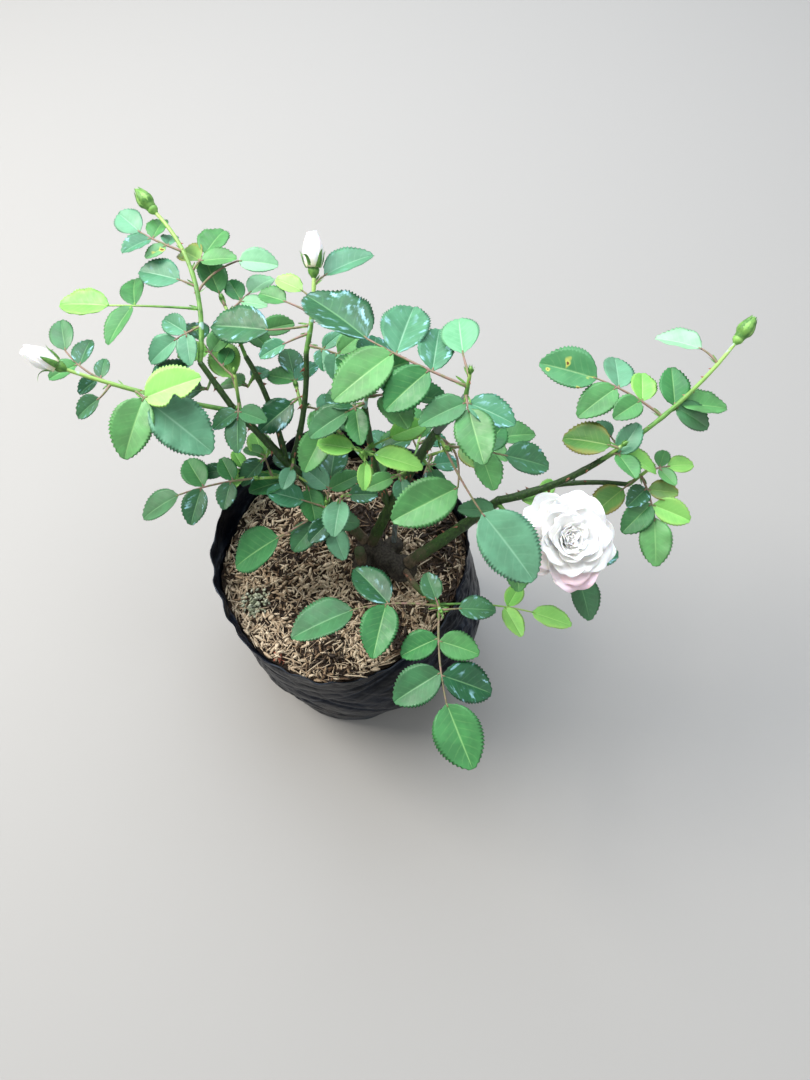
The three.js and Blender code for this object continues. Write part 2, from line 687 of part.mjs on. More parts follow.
const COLOURS = {
  film: { color: 0x23252b, roughness: 0.45 },
  husk: { color: 0x8a6a4c, roughness: 0.95 },
  wood: { color: 0x4a3b2c, roughness: 0.85 },
  cane: { color: 0x3f5a2b, roughness: 0.6 },
  leaf: { color: 0x3f8a46, roughness: 0.45 },
};

const bush = new THREE.Group();

function add(name, solid, look) {
  const material = new THREE.MeshStandardMaterial({ metalness: 0, ...COLOURS[look] });
  const mesh = new THREE.Mesh(geometryOf(solid), material);
  mesh.name = name;
  bush.add(mesh);
}

add("grow_bag", growBag(), "film");
add("growing_medium", growingMedium(), "husk");
for (const cane of CANES) add(cane.name, growCane(cane), "cane");
add("knuckle", stand(knuckle(), "knuckle"), "wood");
const stems = SHOOTS.map(growStem);
SHOOTS.forEach((shoot, index) => add(shoot.name, growLeaves(shoot, index, stems[index]), "leaf"));

export default bush;
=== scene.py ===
# A young rose bush in a soft black nursery bag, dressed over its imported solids.
# Sizes are in millimetres up to the moment that a mesh is made, which is in metres. The skeleton
# of canes, shoots and leaflets follows the same plan and the same rule as the solids.
import functools
from math import cos, exp, pi, radians, sin, sqrt
import bpy
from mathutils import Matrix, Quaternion, Vector
from mathutils.noise import noise


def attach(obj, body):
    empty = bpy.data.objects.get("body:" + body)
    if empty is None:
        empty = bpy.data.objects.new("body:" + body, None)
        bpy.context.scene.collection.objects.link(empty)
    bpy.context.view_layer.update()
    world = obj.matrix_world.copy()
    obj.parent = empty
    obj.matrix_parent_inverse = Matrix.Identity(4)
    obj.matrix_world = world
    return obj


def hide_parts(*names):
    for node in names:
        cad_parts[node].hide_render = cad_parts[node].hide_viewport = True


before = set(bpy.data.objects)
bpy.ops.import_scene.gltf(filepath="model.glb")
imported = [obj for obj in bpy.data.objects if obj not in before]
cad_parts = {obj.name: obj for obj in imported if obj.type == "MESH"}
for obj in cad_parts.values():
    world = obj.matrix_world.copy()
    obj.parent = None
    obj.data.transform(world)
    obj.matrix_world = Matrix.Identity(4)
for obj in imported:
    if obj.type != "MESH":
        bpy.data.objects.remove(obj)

MM = 0.001
UP = Vector((0, 0, 1))
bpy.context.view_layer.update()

# Driving sizes, the same as the solids'. Shares are of a length or of the bag's height.
BAG_RADIUS = 128
BAG_HEIGHT = 205
BAG_WALL = 2.4
BAG_FLOOR = 3
BAG_CORNER = 7
BELLY_SHARE = 0.45
MEDIUM_LEVEL = 178
CLEAR = 0.3
KNUCKLE_FOOT = MEDIUM_LEVEL + CLEAR
BLADE_SHARE_WIDE = 0.76
YOUNG_SHARE_WIDE = 0.62
PAIR_ANGLE = 63
PAIR_SIZES = (0.84, 0.64)
DROOP = 0.1
PAIR_STAGGER = 0.03
LEAFLET_SHARES = {"young": (0.74, 0.4), "two_pairs": (0.72, 0.36), "one_pair": (0.62,)}
FLOWERING_STEM = (2.2, 1.5)
LEAFY_STEM = (1.7, 1.2)
BUD_LENGTHS = {"bud": 25, "opening_bud": 34, "tip": 7}
BLOOM_WAY = (300, 68)

# Sizes that only the dressed model has
FILM = 0.8
TEETH_PITCH = 2.8
FEWEST_TEETH, MOST_TEETH = 9, 24
TOOTH_OUT, TOOTH_IN = 0.041, -0.032
TOOTH_LEAN = 0.7
NARROWEST = 0.17
VEINS_A_SIDE = 8
VEIN_SLANT = 0.24
LEAF_THICK = 0.35
PETAL_THICK = 0.4
OPENING_BUD_WIDE, BUD_WIDE = 0.205, 0.29
STAMENS = 16
EYE_SPACING = 34
CANE_PRICKLE_SPACING = 15
SHOOT_PRICKLE_SPACING = 16
LONG_RACHIS = 30
CREASE_COUNT = 110
SHREDS = 5800
HUSK_REACH = 0.985
CRUMBS_TO, CHIPS_TO = 0.5, 0.8
UNDERSIDE_HEIGHT = 0.05
WOOD_VOXEL = 1.1

# Places on the medium's top: the middle of the bank, the shaded patch, the crust and the red chips
BANK_AT = (34, 14)
SHADE_AT = (20, -6)
CRUST_AT = (-91, -33)
RED_AT = (-62, -94)

# The camera: its place in metres, how far below the horizon it looks, and its lens
CAMERA_AT = (0.057, -0.320, 0.926)
LOOKS_DOWN = 64.6
LENS = 27.03

# Turns in radians: the step from one leaf or petal to the next, and about a full turn
GOLDEN_TURN = 2.4
FULL_TURN = 6.3

# The draws of the finer twigs' leaves start at this key, so many keys to a twig
FINE_KEY = 40
KEYS_A_TWIG = 9

# The steps in which a line is measured
LINE_STEPS = 200

# The heads of the knuckle: x, y, radius, height
HEADS = {
    "west_head": (22, 25, 12, 20),
    "stub_head": (14, 8, 8.5, 12),
    "mid_head": (37, 13, 11, 15),
    "east_head": (54, 2, 12.5, 19),
    "back_head": (45, 27, 9, 14),
}

# Canes: name, what it grows from, how far back from that one's tip, its own tip, radii, arch, sway
CANES = (
    ("east_cane", "east_head", 0, (140, 16, 300), (6.2, 4.2), -9, -3),
    ("centre_cane", "west_head", 0, (82, 26, 395), (5.6, 3.6), 3, -4),
    ("west_cane", "west_head", 0, (-54, 60, 300), (5.4, 4), -6, 2),
    ("middle_cane", "centre_cane", 140, (26, 40, 405), (3.4, 2.6), 0, -4),
    ("grey_cane", "back_head", 0, (63, 50, 305), (2.6, 2), 0, -4),
    ("front_cane", "east_head", 0, (86, -60, 245), (3.2, 2.4), -4, 2),
    ("inner_cane", "west_cane", 108, (-14, 20, 262), (2.8, 2.2), 0, -3),
    ("sawn_stub", "stub_head", 0, (13, 7, 213), (5.6, 5.2), 0, 0),
    ("spur", "centre_cane", 0, (101, 26, 440), (3.4, 2.6), 0, 1),
    ("east_arm", "east_cane", 0, (221, 27, 352), (3.6, 2.4), -3, 4),
    ("low_east_arm", "east_cane", 9, (247, 18, 324), (2.6, 2), -8, -14),
    ("west_arm", "west_cane", 0, (-90, 78, 352), (3.8, 3), -2, 1),
    ("far_west_arm", "west_arm", 0, (-112, 99, 385), (2.8, 2.3), 0, 0),
    ("north_west_arm", "west_cane", 7, (-77, 112, 376), (2.8, 2.2), 6, 4),
    ("north_arm", "west_cane", 14, (-23, 98, 398), (2.8, 2.2), 4, 6),
)

# Shoots: name, cane, how far back from its tip, tip, arch, sway, end, leaves. A leaf is its place
# on the stem, heading, rise, rachis length, pairs, end leaflet, turn and finishes, and then young
# where it is a young one. The finishes are one letter a leaflet, the end one first, and the last
# letter serves for the rest.
SHOOTS = (
    ("far_west_bud_shoot", "far_west_arm", 0, (-152, 219, 430), 6, 15, "bud", (
        (0.2, 205, -6, 22, 1, 34, 0, "b"),
        (0.3, 174, 2, 78, 1, 48, -4, "ymm", "young"),
        (0.4, 40, 16, 44, 0, 34, -44, "p"),
        (0.44, 162, 18, 14, 0, 40, 0, "b"),
        (0.54, 62, 10, 20, 1, 38, 10, "mom"),
        (0.68, 154, 10, 42, 2, 34, -20, "bbmgb"),
    )),
    ("west_bud_shoot", "west_arm", 6, (-215, 82, 398), 2, -5, "opening_bud", (
        (0.54, 42, 20, 10, 0, 40, 12, "d"),
        (0.6, 322, -5, 17, 1, 63, 6, "bym"),
        (0.66, 146, 6, 66, 2, 34, -42, "dmddd"),
        (0.74, 236, -8, 14, 0, 28, -30, "d"),
    )),
    ("west_leaf_shoot", "west_arm", 12, (-84, 92, 378), 2, 0, "tip", (
        (0.3, 270, 2, 14, 1, 32, 0, "d"),
        (0.6, 113, 16, 12, 0, 40, 0, "y"),
        (0.9, 132, 14, 46, 2, 34, -20, "dym"),
    )),
    ("north_west_shoot", "north_west_arm", 0, (-96, 154, 396), 2, 0, "tip", (
        (0.3, 20, 10, 20, 1, 30, 0, "mpm"),
        (0.75, 52, 10, 26, 1, 30, 0, "pmp"),
        (0.9, 116, 24, 12, 0, 38, 0, "m"),
    )),
    ("north_bud_shoot", "north_arm", 0, (-16, 149, 430), 2, 2, "opening_bud", (
        (0.1, -20, 4, 36, 2, 34, 0, "mmb"),
        (0.25, 200, -4, 20, 0, 26, 0, "b"),
        (0.35, 183, 0, 34, 0, 56, -20, "d"),
        (0.5, 152, 8, 24, 0, 28, 0, "m"),
        (0.65, 128, 8, 14, 0, 28, 20, "y"),
        (0.88, 46, 14, 12, 0, 46, -14, "b"),
    )),
    ("north_low_shoot", "north_arm", 56, (-36, 96, 354), 0, 0, "tip", (
        (0.3, 346, 0, 22, 1, 36, 0, "dbm"),
        (0.6, 214, -8, 6, 0, 40, 0, "d"),
        (0.9, 104, 6, 16, 1, 34, 0, "dmb"),
    )),
    ("spur_shoot", "spur", 0, (103, 32, 458), 0, 0, "tip", (
        (0.1, 275, 4, 12, 1, 46, 8, "mbd"),
        (0.45, 151, 8, 84, 2, 68, -16, "dmbmb"),
        (0.9, 102, 8, 20, 0, 46, -8, "p"),
    )),
    ("centre_shoot", "centre_cane", 5, (88, 8, 400), 0, 0, "tip", (
        (0.35, 292, -14, 40, 0, 58, -112, "m"),
        (0.7, 298, -5, 62, 0, 66, 14, "b"),
        (0.9, -4, -5, 46, 1, 40, 0, "dmm"),
    )),
    ("middle_shoot", "middle_cane", 0, (29, 44, 424), 0, 0, "tip", (
        (0.3, 205, -4, 14, 1, 38, 0, "dmd"),
        (0.6, 8, 4, 24, 1, 46, 0, "mbm"),
        (0.9, 84, 6, 20, 1, 40, 0, "bmm"),
    )),
    ("young_shoot", "middle_cane", 44, (25, 8, 392), 0, 0, "tip", (
        (0.5, 30, 6, 20, 0, 36, 0, "y", "young"),
        (0.75, 268, -16, 8, 0, 24, 0, "y", "young"),
        (0.9, 166, 12, 8, 0, 32, 0, "y", "young"),
        (0.97, -14, 6, 8, 0, 40, 0, "y", "young"),
    )),
    ("grey_shoot", "grey_cane", 0, (92, 48, 330), 2, 0, "tip", (
        (0.3, 112, 8, 34, 1, 36, 0, "dm"),
        (0.6, 250, 2, 26, 1, 34, 0, "d"),
        (0.9, 14, 10, 48, 2, 38, 0, "mdmbo"),
    )),
    ("bloom_shoot", "east_cane", 4, (182, -39, 330), -6, 4, "bloom", (
        (0.25, 160, 2, 12, 0, 36, 0, "d"),
        (0.4, 270, -6, 26, 1, 34, 0, "m"),
        (0.5, 58, 6, 32, 1, 26, 0, "y", "young"),
        (0.66, 344, -10, 46, 0, 34, 20, "b"),
        (0.78, 316, -12, 42, 0, 40, -28, "d"),
    )),
    ("east_bud_shoot", "east_arm", 0, (324, 105, 402), 2, 7, "bud", (
        (0.1, 118, 8, 12, 0, 24, 0, "b"),
        (0.4, 148, 13, 62, 2, 50, 14, "gmbmy"),
        (0.44, 34, 10, 13, 1, 42, -32, "mmd"),
        (0.84, 126, 8, 18, 0, 40, 22, "p"),
    )),
    ("east_leaf_shoot", "east_arm", 8, (232, 30, 366), 0, 0, "tip", (
        (0.9, 158, 4, 6, 0, 42, 0, "o"),
        (0.6, -8, 2, 10, 1, 36, 0, "ybm"),
    )),
    ("low_east_shoot", "low_east_arm", 0, (262, 26, 336), 0, 0, "tip", (
        (0.3, 216, -4, 12, 0, 36, 0, "o"),
        (0.6, 284, -6, 37, 2, 42, -14, "mymod"),
        (0.95, 10, 8, 16, 1, 26, 0, "ym"),
    )),
    ("front_shoot", "front_cane", 0, (88, -72, 260), 0, 0, "tip", (
        (0.15, 356, 4, 84, 1, 38, -16, "y", "young"),
        (0.4, 183, 8, 76, 1, 60, 22, "dmd"),
        (0.6, 112, 30, 7, 0, 28, 0, "d"),
        (0.7, 273, 4, 84, 2, 58, 18, "mddmm"),
        (0.95, 0, 20, 16, 0, 34, 0, "d"),
    )),
    ("inner_shoot", "inner_cane", 0, (-14, 24, 276), 0, 0, "tip", (
        (0.2, 291, -6, 12, 1, 34, 0, "bd"),
        (0.4, 222, -16, 14, 0, 36, 0, "d"),
        (0.6, 206, -10, 50, 0, 58, -8, "m"),
        (0.7, 170, 26, 22, 0, 36, 0, "b"),
        (0.95, 84, 14, 26, 1, 40, 0, "dbm"),
    )),
    ("low_west_shoot", "west_cane", 30, (-72, 38, 300), 0, 0, "tip", (
        (0.45, 176, 16, 50, 1, 30, 16, "dyy", "young"),
        (0.7, 112, 24, 18, 0, 34, 0, "y"),
        (0.97, 190, 0, 74, 2, 42, 12, "ddmdm"),
    )),
)

# Finer twigs, which only the dressed model has: the shoot that each belongs to, what it grows from,
# how far back from that one's tip, its tip, arch, sway and leaves
FINE_TWIGS = (
    ("middle_shoot", "middle_cane", 92, (-8, 76, 332), 3, 0, (
        (0.75, 140, 4, 8, 0, 26, 0, "b"),
        (1, 240, -8, 6, 0, 44, 0, "m"),
    )),
    ("inner_shoot", "inner_cane", 6, (-42, 50, 284), 3, 4, (
        (0.5, 96, 10, 4, 0, 26, 0, "b"),
        (0.75, 284, -4, 5, 0, 34, 0, "m"),
        (0.95, 196, 6, 8, 0, 40, 0, "m"),
        (1, 128, 10, 5, 0, 30, 0, "d"),
    )),
    ("inner_shoot", "inner_cane", 18, (2, 26, 290), 3, -4, (
        (0.8, 262, 6, 3, 0, 36, 0, "b"),
        (1, 4, 10, 4, 0, 28, 0, "d"),
    )),
    ("grey_shoot", "grey_cane", 34, (42, 70, 296), 3, 0, (
        (0.5, 20, 6, 6, 0, 26, 0, "m"),
        (0.9, 130, 10, 4, 0, 30, 0, "b"),
        (0.97, 236, 0, 5, 0, 30, 0, "m"),
    )),
    ("centre_shoot", "centre_cane", 62, (70, 62, 330), 3, 0, (
        (0.7, 20, 4, 5, 0, 24, 0, "b"),
        (1, 110, 6, 8, 0, 32, 0, "m"),
        (0.98, 190, 4, 6, 0, 30, 0, "d"),
    )),
    ("north_west_shoot", "north_west_arm", 15, (-78, 99, 352), 0, 0, (
        (1, 150, -6, 4, 0, 36, 0, "m"),
        (0.7, 60, 0, 3, 0, 24, 0, "b"),
    )),
    ("west_bud_shoot", "far_west_arm", 16, (-112, 95, 354), 0, 0, (
        (1, 172, -12, 4, 0, 34, 0, "d"),
    )),
    ("low_west_shoot", "west_arm", 50, (-67, 56, 305), 0, 0, (
        (1, 222, -8, 3, 0, 31, 0, "d"),
        (0.9, 150, 0, 3, 0, 24, 0, "m"),
    )),
    ("inner_shoot", "north_arm", 108, (-43, 51, 302), 0, 0, (
        (1, 252, 4, 3, 0, 23, 0, "b"),
    )),
    ("centre_shoot", "centre_cane", 46, (76, 26, 342), 2, 0, (
        (1, 18, 0, 4, 0, 26, 0, "b"),
        (0.9, 300, -6, 4, 0, 27, 0, "d"),
    )),
    ("centre_shoot", "centre_cane", 74, (52, 24, 330), 2, 0, (
        (1, 200, 0, 4, 0, 28, 0, "m"),
        (0.95, 280, 0, 3, 0, 24, 0, "b"),
    )),
)

# Leaflets that the solids tilt to clear a neighbour, in degrees, or have no room for
TILTED = {
    ("west_bud_shoot", 0, 0): -16, ("west_bud_shoot", 1, 1): 16, ("west_leaf_shoot", 2, 1): 16,
    ("bloom_shoot", 2, 1): -16, ("east_bud_shoot", 2, 1): 16, ("east_leaf_shoot", 1, 1): 16,
    ("low_east_shoot", 1, 4): 16, ("low_east_shoot", 2, 2): 16, ("low_west_shoot", 2, 2): 16,
    ("low_west_shoot", 2, 4): 16,
}
NO_ROOM = {("west_leaf_shoot", 2, 3), ("grey_shoot", 1, 2)}

# The one leaflet that has been eaten into at its edge
BITTEN = ("west_bud_shoot", 1, 1)


def chance(*keys):
    """The same number from 0 to 1 for the same keys as in the solids' rule. The keys say what the
    draw is for, and the last one tells apart the draws of one thing."""
    h = 2166136261
    for key in keys:
        h = ((h ^ key) * 16777619) & 0xFFFFFFFF
        h = ((h ^ (h >> 13)) * 1540483477) & 0xFFFFFFFF
    return (h ^ (h >> 15)) / 4294967296


def spread(amount, *keys):
    """A draw from -amount to amount."""
    return amount * (2 * chance(*keys) - 1)


def clamp(value, low, high):
    """The value, or the limit that it is past."""
    return min(high, max(low, value))


def ease(t):
    """Rises smoothly from 0 to 1 as t does."""
    t = clamp(t, 0, 1)
    return t * t * (3 - 2 * t)


def heading(degrees, rise):
    """The unit vector at a turn from east and a rise, both in degrees."""
    flat = cos(radians(rise))
    turn = radians(degrees)
    return Vector((flat * cos(turn), flat * sin(turn), sin(radians(rise))))


def turned(vector, axis, degrees):
    """A vector turned about an axis."""
    return Quaternion(axis, radians(degrees)) @ vector


def outward(way, turn):
    """The direction square to way that lies at a turn round it, in radians."""
    side = way.cross(UP)
    side = (side if side.length > 0.1 else way.cross(Vector((1, 0, 0)))).normalized()
    return side * cos(turn) + way.cross(side).normalized() * sin(turn)


def around_z(turn, z):
    """A point of the unit circle at a turn in degrees, at the height z."""
    return Vector((cos(radians(turn)), sin(radians(turn)), z))


def lattice(rows, columns):
    """The faces of a sheet of points that are given row after row."""
    n = columns + 1
    return [(i * n + j, i * n + j + 1, (i + 1) * n + j + 1, (i + 1) * n + j)
            for i in range(rows) for j in range(columns)]


def sleeve(rows, sides, base=0):
    """The faces between rings of points, from the point base on."""
    faces = []
    for i in range(base, base + rows * sides, sides):
        for j in range(sides):
            k = (j + 1) % sides
            faces.append((i + j, i + k, i + sides + k, i + sides + j))
    return faces


def inside_out(faces):
    """The same faces, looking the other way."""
    return [(a, d, c, b) for a, b, c, d in faces]


class Line:
    """A quadratic curve from start to end, bent towards middle, that can be walked by length."""

    def __init__(self, start, middle, end):
        self.start, self.middle, self.end = start, middle, end
        self.lengths = [0.0]
        last = start
        for i in range(1, LINE_STEPS + 1):
            here = self.point(i / LINE_STEPS)
            self.lengths.append(self.lengths[-1] + (here - last).length)
            last = here
        self.length = self.lengths[-1]

    def point(self, t):
        """The point at t, which runs from 0 to 1 but not evenly."""
        return self.start * (1 - t) ** 2 + self.middle * 2 * t * (1 - t) + self.end * t * t

    def tangent(self, t):
        """The way the curve goes at t."""
        way = (self.middle - self.start) * (1 - t) + (self.end - self.middle) * t
        return way.normalized()

    def share(self, walked):
        """The t of a point that lies a share of the length along the line."""
        target = clamp(walked, 0, 1) * self.length
        for i in range(1, LINE_STEPS + 1):
            if self.lengths[i] >= target:
                step = self.lengths[i] - self.lengths[i - 1]
                return (i - 1 + (target - self.lengths[i - 1]) / max(step, 1e-9)) / LINE_STEPS
        return 1.0

    def walk(self, walked):
        """The point at a share of the length."""
        return self.point(self.share(walked))


def stem_line(start, tip, arch, sway):
    """A limb's line, which arches up and sways aside by so many millimetres at its middle."""
    side = (tip - start).cross(UP).normalized()
    return Line(start, (start + tip) / 2 + UP * 2 * arch + side * 2 * sway, tip)


class Pile:
    """Gathers many small shapes into one mesh, each face with its finish, its own UV and a tint."""

    def __init__(self):
        self.points, self.faces, self.finishes, self.uvs, self.tints = [], [], [], [], []

    def add(self, points, faces, finish, uvs=None, tint=0.5):
        """Adds one shape, with one finish or a list of a finish for each face."""
        base = len(self.points)
        self.points += [p * MM for p in points]
        self.faces += [tuple(base + i for i in face) for face in faces]
        self.finishes += finish if isinstance(finish, list) else [finish] * len(faces)
        self.uvs += uvs or [(0.0, 0.0)] * len(points)
        self.tints += [tint] * len(points)

    def make(self, name, materials):
        """Turns the pile into one object, with a slot for each material."""
        mesh = bpy.data.meshes.new(name)
        mesh.from_pydata([tuple(p) for p in self.points], [], self.faces)
        for material in materials:
            mesh.materials.append(material)
        mesh.polygons.foreach_set("material_index", self.finishes)
        mesh.polygons.foreach_set("use_smooth", [True] * len(self.faces))
        layer = mesh.uv_layers.new(name="blade")
        corners = []
        for loop in mesh.loops:
            corners += self.uvs[loop.vertex_index]
        layer.data.foreach_set("uv", corners)
        tint = mesh.attributes.new("tint", "FLOAT", "POINT")
        tint.data.foreach_set("value", self.tints)
        mesh.update()
        piece = bpy.data.objects.new(name, mesh)
        bpy.context.collection.objects.link(piece)
        return piece


def apply_all(piece):
    """Applies every modifier of one piece."""
    bpy.ops.object.select_all(action="DESELECT")
    piece.select_set(True)
    bpy.context.view_layer.objects.active = piece
    for modifier in list(piece.modifiers):
        bpy.ops.object.modifier_apply(modifier=modifier.name)


# The finishes. First the sockets of a colour mix: its share, what lies under and over, its outcome.
SHARE, UNDER, OVER, MIXED = 0, 6, 7, 2
COLOUR = {"data_type": "RGBA"}
SMOOTH = {"interpolation_type": "SMOOTHSTEP"}
TIMES = {"operation": "MULTIPLY"}
TIMES_PLUS = {"operation": "MULTIPLY_ADD"}
LARGER = {"operation": "MAXIMUM"}


def linear(code):
    """An sRGB hex colour as linear light."""
    channels = [int(code[i:i + 2], 16) / 255 for i in (1, 3, 5)]
    return tuple(c / 12.92 if c <= 0.04045 else ((c + 0.055) / 1.055) ** 2.4 for c in channels) + (1.0,)


def feed(made, inputs):
    """Gives a node's inputs, by name or in order, their values, hex colours or links."""
    pairs = inputs.items() if isinstance(inputs, dict) else enumerate(inputs)
    for key, value in pairs:
        if isinstance(value, bpy.types.NodeSocket):
            made.id_data.links.new(value, made.inputs[key])
        else:
            made.inputs[key].default_value = linear(value) if isinstance(value, str) else value


def node(tree, kind, inputs=(), out=0, **settings):
    """Adds a node with its settings and links, and gives one of its outputs."""
    made = tree.nodes.new("ShaderNode" + kind)
    for key, value in settings.items():
        setattr(made, key, value)
    feed(made, inputs)
    return made.outputs[out]


def new_finish(name, roughness, ior):
    """A material, its shader, and the function that adds a node to it."""
    material = bpy.data.materials.new(name)
    material.use_nodes = True
    shader = material.node_tree.nodes["Principled BSDF"]
    feed(shader, {"Roughness": roughness, "IOR": ior})
    return material, shader, functools.partial(node, material.node_tree)


def grains(where, size_mm, detail=3.0, rough=0.55):
    """The settings of a noise with features of a real size, which runs from about 0.3 to 0.7."""
    return {"Vector": where, "Scale": 1000 / size_mm, "Detail": detail, "Roughness": rough}


def leaf_finish(name, blade, deep, vein, roughness, edge=None, edge_share=0.0, residue_and_sheen=0.0,
                spotted=False):
    """Leaf cuticle: waxy and half glossy, paler along the midrib and the side veins. Some leaves
    are scorched or yellow at the edge. Some carry pale blue marks, partly dried spray and partly a
    painted sky sheen, and the older ones brown fungus spots ringed in yellow."""
    material, shader, add = new_finish(name, roughness, 1.45)
    where = add("TexCoord", out="Object")
    along = add("SeparateXYZ", (add("UVMap", uv_map="blade"),))
    across = along.node.outputs["Y"]
    tint = add("Attribute", out="Fac", attribute_name="tint")

    # the veins: a midrib, and side veins that slant forward and wander a little
    side = add("Math", (add("Math", (across, 2.0, -1.0), **TIMES_PLUS),), operation="ABSOLUTE")
    slant = add("Math", (side, -VEIN_SLANT, along), **TIMES_PLUS)
    wander = add("Math", (add("TexNoise", grains(where, 14, 1.0)), 0.035, slant), **TIMES_PLUS)
    phase = add("Math", (add("Math", (wander, VEINS_A_SIDE), **TIMES), 0.5), operation="PINGPONG")
    veins = add("Math", (add("MapRange", (phase, 0.0, 0.14, 0.17, 0.0), **SMOOTH),
                         add("MapRange", (side, 0.95, 0.3), **SMOOTH)), **TIMES)
    midrib = add("MapRange", (side, 0.0, 0.06, 0.85, 0.0), **SMOOTH)
    lines = add("Math", (veins, midrib), **LARGER)

    # the green: patches, lighter or darker from leaflet to leaflet
    patch = add("MapRange", (add("TexNoise", grains(where, 18)), 0.36, 0.66), **SMOOTH)
    colour = add("Mix", {SHARE: patch, UNDER: blade, OVER: deep}, MIXED, **COLOUR)
    fresh = add("Mix", {SHARE: 0.3, UNDER: colour, OVER: vein}, MIXED, **COLOUR)
    dark = add("Mix", {SHARE: 0.6, UNDER: colour, OVER: deep}, MIXED, **COLOUR)
    colour = add("Mix", {SHARE: tint, UNDER: fresh, OVER: dark}, MIXED, **COLOUR)
    if edge:
        rim = add("Math", (add("TexNoise", grains(where, 16)), 0.9, side), **TIMES_PLUS)
        rim = add("MapRange", (rim, 0.98, 1.5), **SMOOTH)
        share = add("Math", (rim, edge_share), **TIMES)
        colour = add("Mix", {SHARE: share, UNDER: colour, OVER: edge}, MIXED, **COLOUR)
    share = add("Math", (lines, 0.6), **TIMES)
    colour = add("Mix", {SHARE: share, UNDER: colour, OVER: vein}, MIXED, **COLOUR)
    if residue_and_sheen:
        # pale blue marks, partly dried spray and partly painted sky sheen: each leaflet's tint shifts
        # its own marks, which run outwards between the side veins
        flow = add("CombineXYZ", (add("Math", (slant, 7.0), **TIMES),
                                  add("Math", (across, 4.0), **TIMES),
                                  add("Math", (tint, 60.0), **TIMES)))
        cloud = add("TexNoise", {"Vector": flow, "Scale": 1.0, "Detail": 3.0})
        marks = add("MapRange", (cloud, 0.56, 0.7, 0.0, residue_and_sheen), **SMOOTH)
        marks = add("Math", (marks, add("MapRange", (side, 0.1, 0.7), **SMOOTH)), **TIMES)
        marks = add("Math", (marks, add("MapRange", (tint, 0.35, 0.6), **SMOOTH)), **TIMES)
        colour = add("Mix", {SHARE: marks, UNDER: colour, OVER: "#a6dbe9"}, MIXED, **COLOUR)
    if spotted:
        spots = add("TexNoise", grains(where, 11, 1.0))
        ring = add("MapRange", (spots, 0.62, 0.7, 0.0, 0.8), **SMOOTH)
        colour = add("Mix", {SHARE: ring, UNDER: colour, OVER: "#c9c95e"}, MIXED, **COLOUR)
        spot = add("MapRange", (spots, 0.7, 0.72), **SMOOTH)
        colour = add("Mix", {SHARE: spot, UNDER: colour, OVER: "#6b4526"}, MIXED, **COLOUR)

    cells = add("Math", (add("TexNoise", grains(where, 0.9, 2.0)), 0.6), **TIMES)
    height = add("Math", (lines, -0.8, cells), **TIMES_PLUS)
    wear_and_sheen = add("TexNoise", grains(where, 7))
    feed(shader, {
        "Base Color": colour,
        "Normal": add("Bump", {"Height": height, "Distance": 0.3 * MM, "Strength": 0.5}),
        "Roughness": add("MapRange", (wear_and_sheen, 0.3, 0.7, roughness - 0.07, roughness + 0.1), **SMOOTH),
    })
    return material


def rind_finish(name, green, brown, pale, low, high, corky=0.9):
    """Rose rind: smooth and half glossy green with fine long streaks, brown and corky at the foot.
    It is old up to the height low and green from high, in millimetres."""
    material, shader, add = new_finish(name, 0.5, 1.45)
    where = add("TexCoord", out="Object")
    stretched = add("Mapping", {"Vector": where, "Scale": (1, 1, 0.16)})
    streaks = add("TexNoise", grains(stretched, 2.2, 4.0, 0.6))
    height = add("SeparateXYZ", (where,), "Z")
    wander = add("Math", (add("TexNoise", grains(where, 12)), 0.05, height), **TIMES_PLUS)
    old = add("MapRange", (wander, high * MM + 0.025, low * MM + 0.025), **SMOOTH)
    share = add("MapRange", (streaks, 0.35, 0.65), **SMOOTH)
    cork = add("Mix", {SHARE: share, UNDER: brown, OVER: pale}, MIXED, **COLOUR)
    share = add("MapRange", (streaks, 0.3, 0.7), **SMOOTH)
    fresh = add("Mix", {SHARE: share, UNDER: green, OVER: "#22381a"}, MIXED, **COLOUR)
    pores = add("MapRange", (add("TexNoise", grains(where, 1.3, 1.0)), 0.7, 0.76, 0.0, 0.5), **SMOOTH)
    fresh = add("Mix", {SHARE: pores, UNDER: fresh, OVER: "#a9a37c"}, MIXED, **COLOUR)
    deep = add("Math", (streaks, add("Math", (old, corky, 0.12), **TIMES_PLUS)), **TIMES)
    feed(shader, {
        "Base Color": add("Mix", {SHARE: old, UNDER: fresh, OVER: cork}, MIXED, **COLOUR),
        "Roughness": add("Math", (old, 0.35, 0.48), **TIMES_PLUS),
        "Normal": add("Bump", {"Height": deep, "Distance": 0.7 * MM, "Strength": 0.9}),
    })
    return material


